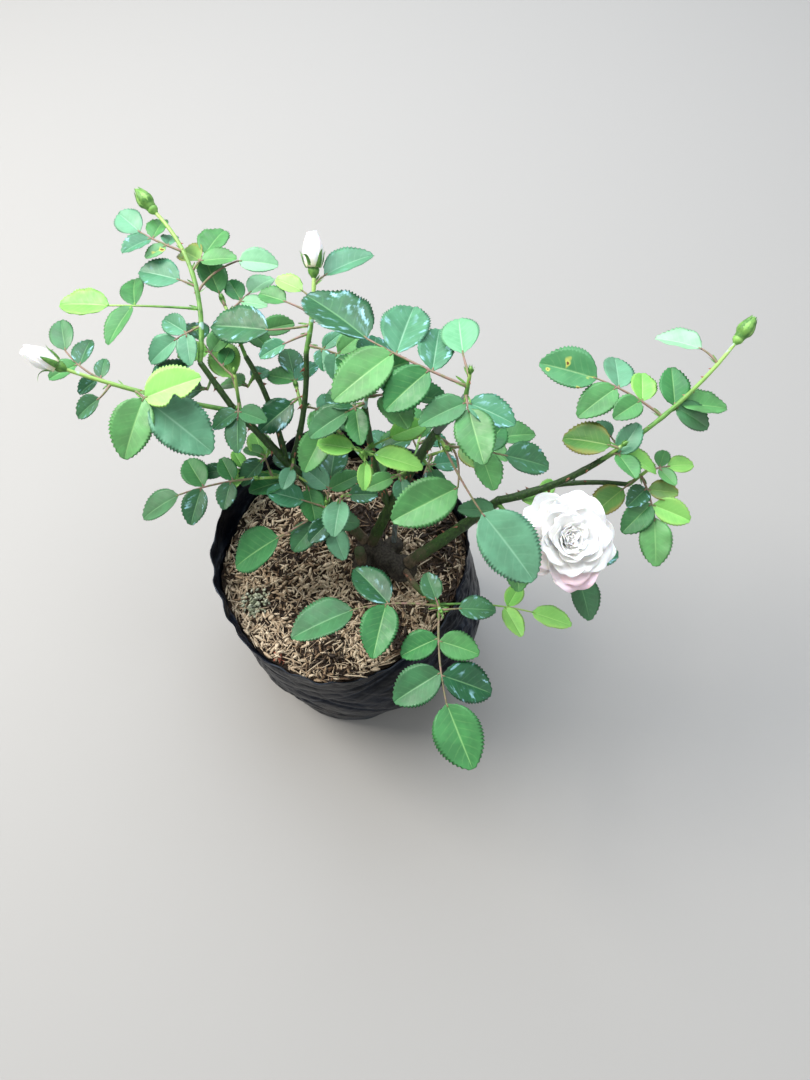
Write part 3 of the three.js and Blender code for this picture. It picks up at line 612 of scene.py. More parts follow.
def plain_plant_finish(name, first, second, roughness, size_mm, coat=0.0, tip=None):
    """Soft green or pink tissue with a fine mottle, paler towards a young tip, with pale bluish
    marks here and there, partly dried spray and partly painted sky sheen."""
    material, shader, add = new_finish(name, roughness, 1.42)
    where = add("TexCoord", out="Object")
    mottle = add("MapRange", (add("TexNoise", grains(where, size_mm)), 0.35, 0.65), **SMOOTH)
    colour = add("Mix", {SHARE: mottle, UNDER: first, OVER: second}, MIXED, **COLOUR)
    if tip:
        along = add("SeparateXYZ", (add("UVMap", uv_map="blade"),))
        young = add("MapRange", (along, 0.35, 1.0, 0.0, 0.85), **SMOOTH)
        colour = add("Mix", {SHARE: young, UNDER: colour, OVER: tip}, MIXED, **COLOUR)
        # pale bluish marks: partly dried spray, partly painted sky sheen
        marks = add("MapRange", (add("TexNoise", grains(where, 11, 2.0)), 0.62, 0.7, 0.0, 0.6), **SMOOTH)
        colour = add("Mix", {SHARE: marks, UNDER: colour, OVER: "#b3d3dc"}, MIXED, **COLOUR)
    skin = add("TexNoise", grains(where, 0.8, 2.0))
    feed(shader, {
        "Base Color": colour,
        "Coat Weight": coat,
        "Normal": add("Bump", {"Height": skin, "Distance": 0.15 * MM, "Strength": 0.5}),
    })
    return material


def petal_finish(name, face, blush, foot):
    """A petal: matt and velvety, white with a creamy foot and fine veins that fan out."""
    material, shader, add = new_finish(name, 0.62, 1.4)
    where = add("TexCoord", out="Object")
    along = add("SeparateXYZ", (add("UVMap", uv_map="blade"),))
    across = along.node.outputs["Y"]
    share = add("MapRange", (along, 0.3, 0.0), **SMOOTH)
    colour = add("Mix", {SHARE: share, UNDER: face, OVER: foot}, MIXED, **COLOUR)
    rim = add("Math", (add("TexNoise", grains(where, 20)), 0.9, along), **TIMES_PLUS)
    rim = add("MapRange", (rim, 0.95, 1.55, 0.0, 0.8), **SMOOTH)
    colour = add("Mix", {SHARE: rim, UNDER: colour, OVER: blush}, MIXED, **COLOUR)
    fan = add("CombineXYZ", (add("Math", (across, 34.0), **TIMES), along))
    veins = add("TexNoise", {"Vector": fan, "Scale": 1.0, "Detail": 2.0})
    feed(shader, {
        "Base Color": colour,
        "Sheen Weight": 0.25,
        "Subsurface Weight": 0.3,
        "Subsurface Radius": (0.004, 0.003, 0.002),
        "Normal": add("Bump", {"Height": veins, "Distance": 0.5 * MM, "Strength": 0.5}),
    })
    return material


def film_finish():
    """Black polythene film: a dull gloss under pale dust that gathers low down, with painted highlights in
    the same pale colour along the ridges of creases, and pale scuffs at the rim.
    """
    material, shader, add = new_finish("black_polythene_film", 0.36, 1.18)
    where = add("TexCoord", out="Object")
    cloud = add("TexNoise", grains(where, 70, 4.0, 0.6))
    stretched = add("Mapping", {"Vector": where, "Scale": (1, 1, 0.45)})
    streak = add("TexNoise", grains(stretched, 16, 5.0, 0.65))
    specks = add("MapRange", (add("TexNoise", grains(where, 1.6, 2.0)), 0.62, 0.72), **SMOOTH)
    # pale streaks along the fold lines are painted highlights, where crease ridges catch the sky; at the
    # rim the same attribute gives pale scuffs
    fold = add("Attribute", out="Fac", attribute_name="fold")
    sheen_and_scuff_patches = add("MapRange", (add("TexNoise", grains(where, 26)), 0.42, 0.64, 0.02, 0.3), **SMOOTH)
    wear_and_sheen = add("Math", (fold, sheen_and_scuff_patches), **TIMES)
    low = add("MapRange", (add("SeparateXYZ", (where,), "Z"), 0.13, 0.0, 0.0, 0.3), **SMOOTH)
    dust_and_sheen = add("Math", (add("Math", (cloud, streak), **TIMES), low), operation="ADD")
    dust_and_sheen = add("MapRange", (dust_and_sheen, 0.3, 0.75, 0.0, 0.1), **SMOOTH)
    dust_and_sheen = add("Math", (dust_and_sheen, add("Math", (specks, 0.12), **TIMES)), **LARGER)
    dust_and_sheen = add("Math", (dust_and_sheen, wear_and_sheen), **LARGER)
    share = add("MapRange", (cloud, 0.4, 0.65), **SMOOTH)
    film = add("Mix", {SHARE: share, UNDER: "#060910", OVER: "#0b121f"}, MIXED, **COLOUR)
    # small flat facets, as in film that has been crumpled and pulled straight
    folds = add("TexVoronoi", {"Vector": where, "Scale": 1000 / 22.0, "Randomness": 1.0},
                feature="DISTANCE_TO_EDGE")
    crease = add("Math", (add("MapRange", (folds, 0.0, 0.16), **SMOOTH), 0.25), **TIMES)
    fine = add("Math", (add("TexNoise", grains(where, 5, 4.0)), 0.5, crease), **TIMES_PLUS)
    feed(shader, {
        # the pale bluish grey is dust and rim scuffs, and along the creases a painted highlight
        "Base Color": add("Mix", {SHARE: dust_and_sheen, UNDER: film, OVER: "#7c8797"}, MIXED, **COLOUR),
        "Roughness": add("Math", (dust_and_sheen, 1.0, 0.3), **TIMES_PLUS),
        "Normal": add("Bump", {"Height": fine, "Distance": 1.3 * MM, "Strength": 0.7}),
    })
    return material


def husk_finish(name, first, second, roughness=0.9):
    """Dry husk or chip: a dull fibrous surface with fine grain along it."""
    material, shader, add = new_finish(name, roughness, 1.45)
    where = add("TexCoord", out="Object")
    tint = add("Attribute", out="Fac", attribute_name="tint")
    colour = add("Mix", {SHARE: tint, UNDER: first, OVER: second}, MIXED, **COLOUR)
    fibres = add("TexNoise", grains(where, 1.1, 4.0, 0.65))
    share = add("MapRange", (fibres, 0.4, 0.72, 0.0, 0.5), **SMOOTH)
    feed(shader, {
        "Base Color": add("Mix", {SHARE: share, UNDER: colour, OVER: "#3c2e22"}, MIXED, **COLOUR),
        "Normal": add("Bump", {"Height": fibres, "Distance": 0.5 * MM, "Strength": 0.8}),
    })
    return material


def crumb_finish():
    """The moist crumb under the husk: dark and granular, and darkened further as painted shade in the gaps
    between the shreds.
    """
    material, shader, add = new_finish("moist_crumb_and_gap_shade", 0.85, 1.4)
    where = add("TexCoord", out="Object")
    moist = add("MapRange", (add("TexNoise", grains(where, 45)), 0.42, 0.6), **SMOOTH)
    crumbs = add("TexNoise", grains(where, 3.0, 5.0, 0.7))
    share = add("MapRange", (crumbs, 0.4, 0.62), **SMOOTH)
    # the dry crumb's colours are darkened as painted shade in the gaps between the shreds
    dry = add("Mix", {SHARE: share, UNDER: "#30251c", OVER: "#574432"}, MIXED, **COLOUR)
    wet = add("Mix", {SHARE: share, UNDER: "#1f1710", OVER: "#3b2c1f"}, MIXED, **COLOUR)
    feed(shader, {
        "Base Color": add("Mix", {SHARE: moist, UNDER: dry, OVER: wet}, MIXED, **COLOUR),
        "Normal": add("Bump", {"Height": crumbs, "Distance": 3.0 * MM, "Strength": 1.0}),
    })
    return material


def floor_finish():
    """Plain matt studio board."""
    material, shader, _ = new_finish("plain_pale_floor", 0.8, 1.5)
    feed(shader, {"Base Color": "#a3a19d"})
    return material


# Leaf finishes by letter, in the order of the slots of every piece that has leaves
LEAF_LETTERS = "dmboypgu"
# how strong the pale blue marks on leaves are: partly dried spray, partly painted sky sheen
RESIDUE_AND_SHEEN = 0.8
LEAF_FINISHES = [
    leaf_finish("leaf_dark", "#2a6e43", "#174b2d", "#78ac74", 0.42, residue_and_sheen=RESIDUE_AND_SHEEN),
    leaf_finish("leaf_mid", "#41924e", "#276a38", "#96c87c", 0.44),
    # leaves that face the sky: a green with the sky's bluish sheen painted into it
    leaf_finish("leaf_bluish_painted_sky_sheen", "#4c946c", "#2e724c", "#9acaa6", 0.42, residue_and_sheen=RESIDUE_AND_SHEEN),
    leaf_finish("leaf_olive", "#5f9444", "#437a38", "#a6c272", 0.42, "#a8823c", 0.5),
    leaf_finish("leaf_young", "#82ca5c", "#64b248", "#beea94", 0.44, "#b4d470", 0.35),
    # leaves that face the sky most: a pale green with the sky's sheen painted into it
    leaf_finish("leaf_pale_painted_sky_sheen", "#84c294", "#60a474", "#bce4b8", 0.42),
    leaf_finish("leaf_spotted", "#4d9660", "#307848", "#93bb7a", 0.45, spotted=True),
    leaf_finish("leaf_underside", "#82b583", "#689a6c", "#aed2a2", 0.6),
]
UNDERSIDE = LEAF_LETTERS.index("u")

STEM_FINISHES = [
    plain_plant_finish("green_stem", "#6a9c46", "#4e7e36", 0.42, 6.0, 0.1, "#a6cb6a"),
    plain_plant_finish("pink_rachis", "#93756a", "#75794f", 0.5, 5.0),
    plain_plant_finish("red_brown_prickle", "#8a4a36", "#b5795a", 0.45, 2.0),
    plain_plant_finish("sepal_green", "#6d9c48", "#4d8038", 0.5, 3.0),
    petal_finish("white_petal", "#fdfcf7", "#fdfcf8", "#eeebc4"),
    petal_finish("blush_petal", "#fbf6f2", "#f2cdd8", "#e9e7bc"),
    plain_plant_finish("bud_green", "#8fbf62", "#6fa54c", 0.42, 5.0),
    plain_plant_finish("pollen_yellow", "#d9b44a", "#b98a2e", 0.8, 1.0),
]
STEM, RACHIS, PRICKLE, SEPAL, PETAL, BLUSH, BUD, POLLEN = range(8)

# The prickles have the same slot on the wood as on the stems
RIND = [
    rind_finish("green_rind", "#3b5c26", "#4a3d30", "#6f604c", 192, 226),
    rind_finish("grey_rind", "#6f8078", "#59584f", "#7f8d8c", 190, 620),
    plain_plant_finish("red_brown_prickle_on_wood", "#7b4634", "#a9755a", 0.5, 2.0),
]
GREEN_RIND, GREY_RIND = 0, 1

HUSK_FINISHES = [
    husk_finish("straw_husk", "#e6d4b7", "#b49c7f"),
    husk_finish("tan_chip", "#b39a7c", "#866e54"),
    husk_finish("brown_chip", "#6d5640", "#4d3c2d"),
    husk_finish("moist_chip", "#40332a", "#2a221b", 0.7),
    husk_finish("lichen_crust", "#d3d8c2", "#98a184"),
    husk_finish("red_chip", "#a8604a", "#7d4434"),
]
STRAW, TAN, BROWN, MOIST, CRUST, RED = range(6)


# The skeleton
def cane_lines():
    """The line and the end radii of every cane, by the solids' rule."""
    lines = {}
    for name, parent, back, tip, radii, arch, sway in CANES:
        tip = Vector(tip)
        if parent in HEADS:
            x, y, r, h = HEADS[parent]
            heart = Vector((x, y, KNUCKLE_FOOT + h - r))
            start = heart + (tip - heart).normalized() * 0.75 * r
        else:
            old = lines[parent][0]
            start = old.walk(1 - back / old.length)
        lines[name] = (stem_line(start, tip, arch, sway), radii)
    return lines


def rings(line, radius, sides, steps):
    """Ring after ring of points round a line, with the way out at each point."""
    first = line.tangent(0)
    out = UP.cross(first)
    out = (out if out.length > 0.1 else Vector((1, 0, 0)).cross(first)).normalized()
    made = []
    for i in range(steps + 1):
        t = line.share(i / steps)
        along = line.tangent(t)
        out = (out - along * out.dot(along)).normalized()
        other = along.cross(out)
        at = line.point(t)
        ring = []
        for j in range(sides):
            turn = 2 * pi * j / sides
            way = out * cos(turn) + other * sin(turn)
            ring.append(at + way * radius(i / steps, at))
        made.append(ring)
    return made


def tube(pile, line, radius, sides, steps, finish, round_tip=True):
    """A closed tube round a line, with its end rounded over or cut flat. The radius is a function
    of the share of the length and the place."""
    made = rings(line, radius, sides, steps)
    points = [p for ring in made for p in ring]
    faces = sleeve(steps, sides)
    for end, ring in ((0, made[0]), (1, made[-1])):
        middle = sum(ring, Vector()) / sides
        lift = line.tangent(end) * (radius(end, middle) * (0.6 if round_tip else 0.0))
        points.append(middle + (lift if end else -lift))
        centre, row = len(points) - 1, (steps * sides if end else 0)
        for j in range(sides):
            k = (j + 1) % sides
            faces.append((row + j, row + k, centre) if end else (row + k, row + j, centre))
    uvs = [(i / steps, j / sides) for i in range(steps + 1) for j in range(sides)] + [(0, 0), (1, 0)]
    pile.add(points, faces, finish, uvs)


# The rings of a prickle: how far out, half length, half width, and how far it has hooked down
PRICKLE_RINGS = (
    (-0.25, 0.62, 0.3, 0),
    (0.12, 0.42, 0.2, 0.02),
    (0.5, 0.2, 0.1, 0.16),
    (1, 0.02, 0.02, 0.5),
)
PRICKLE_SIDES = 7


def prickle(pile, at, out, down, size):
    """A rose prickle: a flattened cone on a long foot, hooked towards the base of the stem."""
    side = out.cross(down).normalized()
    points = []
    for lift, long, wide, drop in PRICKLE_RINGS:
        for j in range(PRICKLE_SIDES):
            turn = 2 * pi * j / PRICKLE_SIDES
            points.append(at + (out * lift + down * (drop + long * cos(turn))
                                + side * wide * sin(turn)) * size)
    faces = sleeve(len(PRICKLE_RINGS) - 1, PRICKLE_SIDES)
    faces.append(tuple(range(len(points) - PRICKLE_SIDES, len(points))))
    pile.add(points, [tuple(reversed(face)) for face in faces], PRICKLE)


# The leaves
LEAF_COLUMNS = (-1, -0.8, -0.52, -0.27, -0.08, 0, 0.08, 0.27, 0.52, 0.8, 1)


def blade_shape(s):
    """The half width of a leaflet at a share of its length, as a share of its greatest."""
    return s ** 0.6 * (1 - s) ** 0.72 / 0.4027


def leaflet(pile, foot, along, normal, length, shape, letter, keys, bitten):
    """One toothed leaflet, folded along its midrib and quilted between its veins, with its back."""
    across = normal.cross(along).normalized()
    teeth = clamp(round(length / TEETH_PITCH), FEWEST_TEETH, MOST_TEETH)
    stations = 2 * teeth
    half = shape["wide"] * length / 2
    waviness, ripple = spread(0.016, *keys, 11), 1.5 + 2.5 * chance(*keys, 12)
    phase = FULL_TURN * chance(*keys, 13)
    top, back, uvs = [], [], []
    for i in range(stations + 1):
        s = i / stations
        tooth = TOOTH_OUT if i % 2 else TOOTH_IN
        margin = half * blade_shape(clamp(s, 0.0, 1.0)) * (1 + tooth * min(1, 6 * s))
        margin = max(margin, 0.02 * length * (1 - s) + 0.15)
        lean = (TOOTH_LEAN if i % 2 else 0.0) * length / stations
        for t in LEAF_COLUMNS:
            wide = t * margin
            if bitten and t < 0:
                wide *= 1 - 0.55 * exp(-((s - 0.52) / 0.09) ** 2)
            far = abs(t)
            drop = shape["fold"] * abs(wide) - shape["bend"] * length * s * s
            groove = -0.28 * exp(-(far / 0.06) ** 2)
            swell = abs(sin(pi * VEINS_A_SIDE * (s - VEIN_SLANT * far)))
            quilt = 0.0045 * length * (swell - 0.5) * min(1, 4 * far) * (1 - far ** 3)
            swing = sin(ripple * FULL_TURN * s + phase + (3.1 if t < 0 else 0))
            sway = waviness * length * swing * far ** 2
            at = foot + along * (s * length + lean * far ** 6) + across * wide
            here = at + normal * (drop + groove + quilt + sway)
            top.append(here)
            uvs.append((s, 0.5 + 0.5 * t))
            thin = LEAF_THICK * (1 - far ** 4) + (0.35 * exp(-(far / 0.09) ** 2) * (1.1 - s))
            back.append(here - normal * thin)
    n = len(LEAF_COLUMNS)
    faces, finishes = [], []
    under = len(top)
    for a, b, c, d in lattice(stations, n - 1):
        # the margins of face and back are one edge, so the leaflet is closed
        lower = [k if k % n in (0, n - 1) else under + k for k in (a, b, c, d)]
        faces += [(a, d, c, b), tuple(lower)]
        finishes += [LEAF_LETTERS.index(letter), UNDERSIDE]
    for row in (0, stations):
        ring = [row * n + j for j in range(n)] + [under + row * n + j for j in range(n - 2, 0, -1)]
        faces.append(tuple(ring if row == 0 else reversed(ring)))
        finishes.append(UNDERSIDE)
    pile.add(top + back, faces, finishes, uvs + uvs, chance(*keys, 14))


def stipules(pile, at, out, way, size):
    """The two pale wings at the foot of a leaf."""
    side = out.cross(way).normalized()
    rows = 5
    for hand in (-1, 1):
        points = []
        for i in range(rows + 1):
            s = i / rows
            wide = 0.34 * sin(pi * min(1, 0.25 + 0.75 * s) ** 1.2) + 0.02
            base = at + way * size * s * 0.9 + side * hand * (0.6 + size * 0.18 * s * s)
            points += [base, base + side * hand * size * wide * 0.5 + UP * 0.1 * size * s]
        faces = lattice(rows, 1)
        if hand > 0:
            faces = [tuple(reversed(face)) for face in faces]
        pile.add(points, faces, SEPAL)


def compound_leaf(stems, leaves, at, plan, shoot, leaf):
    """One compound leaf by the solids' rule: rachis, end leaflet and pairs."""
    _, to, rise, length, pairs, size, turn, letters, *young = plan
    stalk_finish = STEM if young else RACHIS
    end = at + heading(to, rise) * length - UP * DROOP * length
    line = Line(at, at + heading(to - turn / 2, rise) * length / 2, end)
    tube(stems, line, lambda s, at: 1.15 - 0.45 * s + 0.5 * exp(-(s * length / 3) ** 2),
         8, max(4, round(length / 4)), stalk_finish)
    stipules(stems, at + heading(to, rise) * 1.5, UP, heading(to, rise), 4 + 0.1 * size)
    if length > LONG_RACHIS:
        for i in range(3):
            share = 0.2 + 0.22 * i
            here = line.point(share)
            prickle(stems, here - UP * 0.7, -UP, -line.tangent(share), 1.3)
    layout = "young" if young else "two_pairs" if pairs > 1 else "one_pair"
    spots = [(1, 0, size, 0)]
    for p in range(pairs):
        share = LEAFLET_SHARES[layout][p]
        spots.append((share, 1, size * PAIR_SIZES[p], 1 + 2 * p))
        spots.append((share - PAIR_STAGGER, -1, size * PAIR_SIZES[p], 2 + 2 * p))
    name = SHOOTS[shoot][0]
    for share, side, blade, key in spots:
        place, keys = (name, leaf, key), (shoot, leaf, key)
        if place in NO_ROOM:
            continue
        on, along = line.point(share), line.tangent(share)
        normal = (UP - along * UP.dot(along)).normalized()
        normal = turned(normal, along, spread(15, *keys, 1))
        off = side * (PAIR_ANGLE + spread(9, *keys, 2)) if side else turn / 2
        out = turned(along, normal, off)
        wide = YOUNG_SHARE_WIDE if young else BLADE_SHARE_WIDE
        shape = {
            "wide": wide * (1 - NARROWEST * chance(*keys, 6)),
            "fold": 0.22 + 0.2 * chance(*keys, 3),
            "bend": 0.06 + 0.14 * chance(*keys, 4),
        }
        hinge = normal.cross(out).normalized()
        lift = -(TILTED.get(place, 0) + spread(9, *keys, 5))
        way, face = turned(out, hinge, lift), turned(normal, hinge, lift)
        stalk = Line(on, on + way * 1.5, on + way * 3.2)
        tube(stems, stalk, lambda s, at: 0.75, 6, 2, stalk_finish)
        letter = letters[min(key, len(letters) - 1)]
        leaflet(leaves, on + way * 0.6, way, face, blade - 1.5, shape, letter, keys, place == BITTEN)


# Buds and the bloom. A profile is shares of the length and of the greatest radius.
BUD_PROFILE = ((-0.08, 0.1), (0, 0.36), (0.07, 0.6), (0.15, 0.68), (0.22, 0.56), (0.3, 0.66), (0.4, 0.9),
               (0.5, 1), (0.62, 0.94), (0.74, 0.74), (0.86, 0.46), (0.95, 0.2), (1, 0.03))
HEART_PROFILE = ((0.2, 0.4), (0.35, 0.74), (0.52, 0.88), (0.7, 0.8), (0.84, 0.62), (0.93, 0.43),
                 (0.98, 0.22), (1, 0.05))
SEPAL_COLUMNS = (-1, -0.5, 0, 0.5, 1)


def bud_radius(share):
    """The radius of a bud at a share of its length, as a share of its greatest."""
    for (a, low), (b, high) in zip(BUD_PROFILE, BUD_PROFILE[1:]):
        if share <= b:
            return low + (high - low) * ease((share - a) / (b - a))
    return BUD_PROFILE[-1][1]


def revolve(pile, at, way, profile, sides, finish, lobes=0, depth=0.0):
    """A closed turned shape, or a lobed one that twists a little."""
    points, uvs = [], []
    rows = len(profile) - 1
    for i, (share, r) in enumerate(profile):
        for j in range(sides):
            turn = 2 * pi * j / sides
            reach = r * (1 + depth * cos(lobes * turn + 0.7 * i))
            points.append(at + way * share + outward(way, turn) * reach)
            uvs.append((i / rows, j / sides))
    faces = inside_out(sleeve(rows, sides))
    faces.append(tuple(range(sides)))
    faces.append(tuple(reversed(range(rows * sides, len(points)))))
    pile.add(points, faces, finish, uvs)


def sepal(pile, at, way, turn, start, length, reach, curl, wide, lean=0):
    """A sepal that lies along a bud, or with a curl leaves it at lean degrees and curls away by
    curl degrees at its point. The reach is how far out a share of it lies."""
    out = outward(way, turn)
    side = way.cross(out).normalized()
    points, uvs = [], []
    here, angle = at + way * start + out * reach(0), 0.0
    rows = 12
    for i in range(rows + 1):
        s = i / rows
        if curl:
            angle = radians(lean + (curl - lean) * ease((s - 0.15) / 0.85))
            here = here + (way * cos(angle) + out * sin(angle)) * length / rows
        else:
            here = at + way * (start + length * s) + out * (reach(s) + 0.5 + 2.2 * s ** 6)
        half = wide * (1 - s) ** 0.8 * (0.75 + 0.5 * s)
        for t in SEPAL_COLUMNS:
            cup = -abs(t) ** 2 * half * 0.45
            at_edge = here + side * t * half
            points.append(at_edge + out * cup * cos(angle) - way * cup * sin(angle))
            uvs.append((s, 0.5 + 0.5 * t))
    pile.add(points, lattice(rows, len(SEPAL_COLUMNS) - 1), SEPAL, uvs)


def petal(pile, at, way, turn, length, wide, opening, foot, cup, finish, keys):
    """A petal that bends out from the axis from opening[0] to opening[1] degrees, on a foot that
    lies so far out and up, cupped to a radius."""
    out = outward(way, turn)
    side = way.cross(out).normalized()
    rows, columns = 12, 12
    points, uvs = [], []
    here = at + way * foot[1] + out * foot[0]
    twist, waviness = spread(0.12, *keys, 1), 0.9 + 0.9 * chance(*keys, 2)
    phase, notch = FULL_TURN * chance(*keys, 3), 0.03 + 0.05 * chance(*keys, 4)
    for i in range(rows + 1):
        s = i / rows
        angle = radians(opening[0] + (opening[1] - opening[0]) * s ** 1.3)
        if i:
            here = here + (way * cos(angle) + out * sin(angle)) * length / rows
        inward = way * sin(angle) - out * cos(angle)
        half = wide * s ** 0.55 * (1 - 0.32 * s ** 5) + 0.8
        for j in range(columns + 1):
            t = -1 + 2 * j / columns
            bend = t * half / cup
            pull = -length * (0.2 * abs(t) ** 3 * s ** 3 + notch * exp(-(t / 0.25) ** 2) * s ** 6)
            flutter = waviness * sin(4.2 * t + phase) * s ** 3
            flutter += 0.5 * sin(9 * t + 2 * phase) * s ** 6
            at_edge = here + side * sin(bend) * cup + inward * (1 - cos(bend)) * cup
            at_edge += inward * flutter + side * twist * s * half
            at_edge += (way * cos(angle) + out * sin(angle)) * pull
            points.append(at_edge)
            uvs.append((s, j / columns))
    pile.add(points, lattice(rows, columns), finish, uvs)


def bud(stems, petals, at, way, length, opening, keys):
    """A bud on its hip, closed in its sepals or half open with its petals showing."""
    if not opening:
        r = BUD_WIDE * length
        profile = [(s * length, r * bud_radius(s) * 0.93) for s, _ in BUD_PROFILE]
        revolve(stems, at, way, profile, 20, BUD)
        for i in range(5):
            sepal(stems, at, way, 2 * pi * i / 5 + 0.3, 0.2 * length, 0.8 * length,
                  lambda s: r * bud_radius(min(1, 0.2 + 0.8 * s)) * 0.93, 0, 0.62 * r)
        return
    r = OPENING_BUD_WIDE * length
    revolve(stems, at, way, [(s * length, r * bud_radius(s)) for s, _ in BUD_PROFILE[:6]], 18, SEPAL)
    for i in range(7):
        wrapped(petals, at, way, GOLDEN_TURN * i, 2.3 - 0.12 * i, length, r, 0.9 - 0.09 * i,
                BLUSH if i in (0, 3) else PETAL, (*keys, i))
    revolve(petals, at, way, [(s * length, r * wide) for s, wide in HEART_PROFILE], 24, PETAL, 3, 0.1)
    for i in range(5):
        curled = chance(*keys, 20 + i) > 0.55
        sepal(stems, at, way, 2 * pi * i / 5 + 0.5, 0.2 * length, (0.5 if curled else 0.4) * length,
              lambda s: r * (0.7 + 0.42 * sin(pi * 0.5 * min(1, 1.6 * s))) + 1.1,
              115 if curled else 0, (0.32 if curled else 0.52) * r, 24)


def wrapped(pile, at, way, turn, span, length, r, lift, finish, keys):
    """A petal that is still rolled round the heart of an opening bud."""
    rows, columns = 14, 14
    points, uvs = [], []
    for i in range(rows + 1):
        s = i / rows
        share = 0.2 + 0.8 * s
        reach = r * (0.5 + 0.56 * sin(pi * min(1, 0.12 + 0.78 * s)) - 0.36 * s ** 3) + lift
        for j in range(columns + 1):
            t = -1 + 2 * j / columns
            angle = turn + t * span / 2 * (0.35 + 0.65 * sin(pi * (0.16 + 0.62 * s)))
            angle += 0.5 * s
            edge = 1.1 * abs(t) ** 6 * s + 1.5 * s ** 10 * (0.4 + 0.6 * t)
            high = length * (share - 0.1 * abs(t) ** 3 * s ** 2) + spread(0.6, *keys, 8) * s
            points.append(at + way * high + outward(way, angle) * (reach + edge))
            uvs.append((s, j / columns))
    pile.add(points, lattice(rows, columns), finish, uvs)


# Rings of petals from the outside in: how many, length, half width, opening, foot, cup. The hip
# is heights and radii.
BLOOM_RINGS = (
    (5, 43, 24, (50, 93), (3, 3), 50),
    (6, 40, 22.5, (39, 84), (3, 4.5), 38),
    (7, 36, 19, (27, 70), (3, 5.5), 27),
    (7, 31, 15.5, (15, 54), (2.6, 6.5), 18),
    (6, 27, 12.5, (6, 38), (2.2, 7.5), 12.5),
    (6, 24, 10, (0, 20), (1.6, 8.5), 8.5),
    (5, 22, 7, (-5, 9), (1, 9), 5.5),
    (3, 20, 5.5, (-6, 4), (0.5, 9.6), 4),
)
BLOOM_HIP = ((-12, 1.6), (-10.5, 3), (-8, 4.6), (-4.5, 5.4), (-1, 5), (1.5, 4.4), (3, 3))


def bloom(stems, petals, at, way):
    """The full bloom: rings of petals over a hip with its five sepals turned down."""
    revolve(stems, at, way, BLOOM_HIP, 18, SEPAL)
    for i in range(5):
        sepal(stems, at, way, 2 * pi * i / 5 + 0.2, 1.5, 26, lambda s: 4, 116, 4.4)
    for ring, (count, length, wide, opening, foot, cup) in enumerate(BLOOM_RINGS):
        for i in range(count):
            keys = (ring, i, 77)
            turn = 2 * pi * (i + 0.5 * (ring % 2) + spread(0.16, *keys, 5)) / count + 0.4 * ring
            size = 1 + spread(0.05, *keys, 6)
            lean = spread(5, *keys, 7)
            out = outward(way, turn)
            low_west = out.x < 0.3 and out.y < 0.2
            petal(petals, at, way, turn, length * size, wide * size,
                  (opening[0] + lean, opening[1] + lean), foot, cup,
                  BLUSH if ring < 2 and low_west else PETAL, keys)
    for i in range(STAMENS):
        out = outward(way, GOLDEN_TURN * i)
        line = Line(at + way * 10, at + way * 17 + out, at + way * 24 + out * (0.6 + 0.12 * i))
        tube(stems, line, lambda s, at: 0.3 + 0.5 * ease((s - 0.8) / 0.15), 6, 8, POLLEN)


# The canes and the knuckle
def limb_radius(root, tip, nodes, length):
    """A tapering limb that swells at its nodes, with a slight lumpiness."""
    def radius(s, at):
        r = root + (tip - root) * s
        for n in nodes:
            r += 0.1 * root * exp(-((s - n) * length / 3.2) ** 2)
        return r * (1 + 0.05 * noise(at * 0.13) + 0.02 * noise(at * 0.6))
    return radius


def dress_canes(lines):
    """Each cane in its rind, with a sleeping eye at every node and prickles."""
    for index, (name, (line, (root, tip))) in enumerate(lines.items()):
        pile = Pile()
        count = max(1, round(line.length / EYE_SPACING))
        nodes = [(i + 0.6) / (count + 0.3) for i in range(count)]
        rind = GREY_RIND if name in ("spur", "grey_cane") else GREEN_RIND
        radius = limb_radius(root, tip, nodes, line.length)
        tube(pile, line, radius, 22, max(8, round(line.length / 2.4)), rind, name != "sawn_stub")
        for i, n in enumerate(nodes):
            t = line.share(n)
            at, along = line.point(t), line.tangent(t)
            out = outward(along, GOLDEN_TURN * (i + index))
            r = root + (tip - root) * n
            eye = Line(at + out * r * 0.7, at + out * r, at + out * (r + 1.6) + along * 1.5)
            tube(pile, eye, lambda s, at: 1.5 - 1.1 * s, 8, 4, rind)
        prickles = 0 if name == "sawn_stub" else round(line.length / CANE_PRICKLE_SPACING)
        for i in range(prickles):
            n = chance(index, i, 31)
            t = line.share(0.08 + 0.86 * n)
            out = outward(line.tangent(t), FULL_TURN * chance(index, i, 32))
            r = root + (tip - root) * n
            size = 2.6 + 1.8 * chance(index, i, 33)
            prickle(pile, line.point(t) + out * r, out, -line.tangent(t), size)
        piece = pile.make(name + "_rind", RIND)
        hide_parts(name)
        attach(piece, "root")


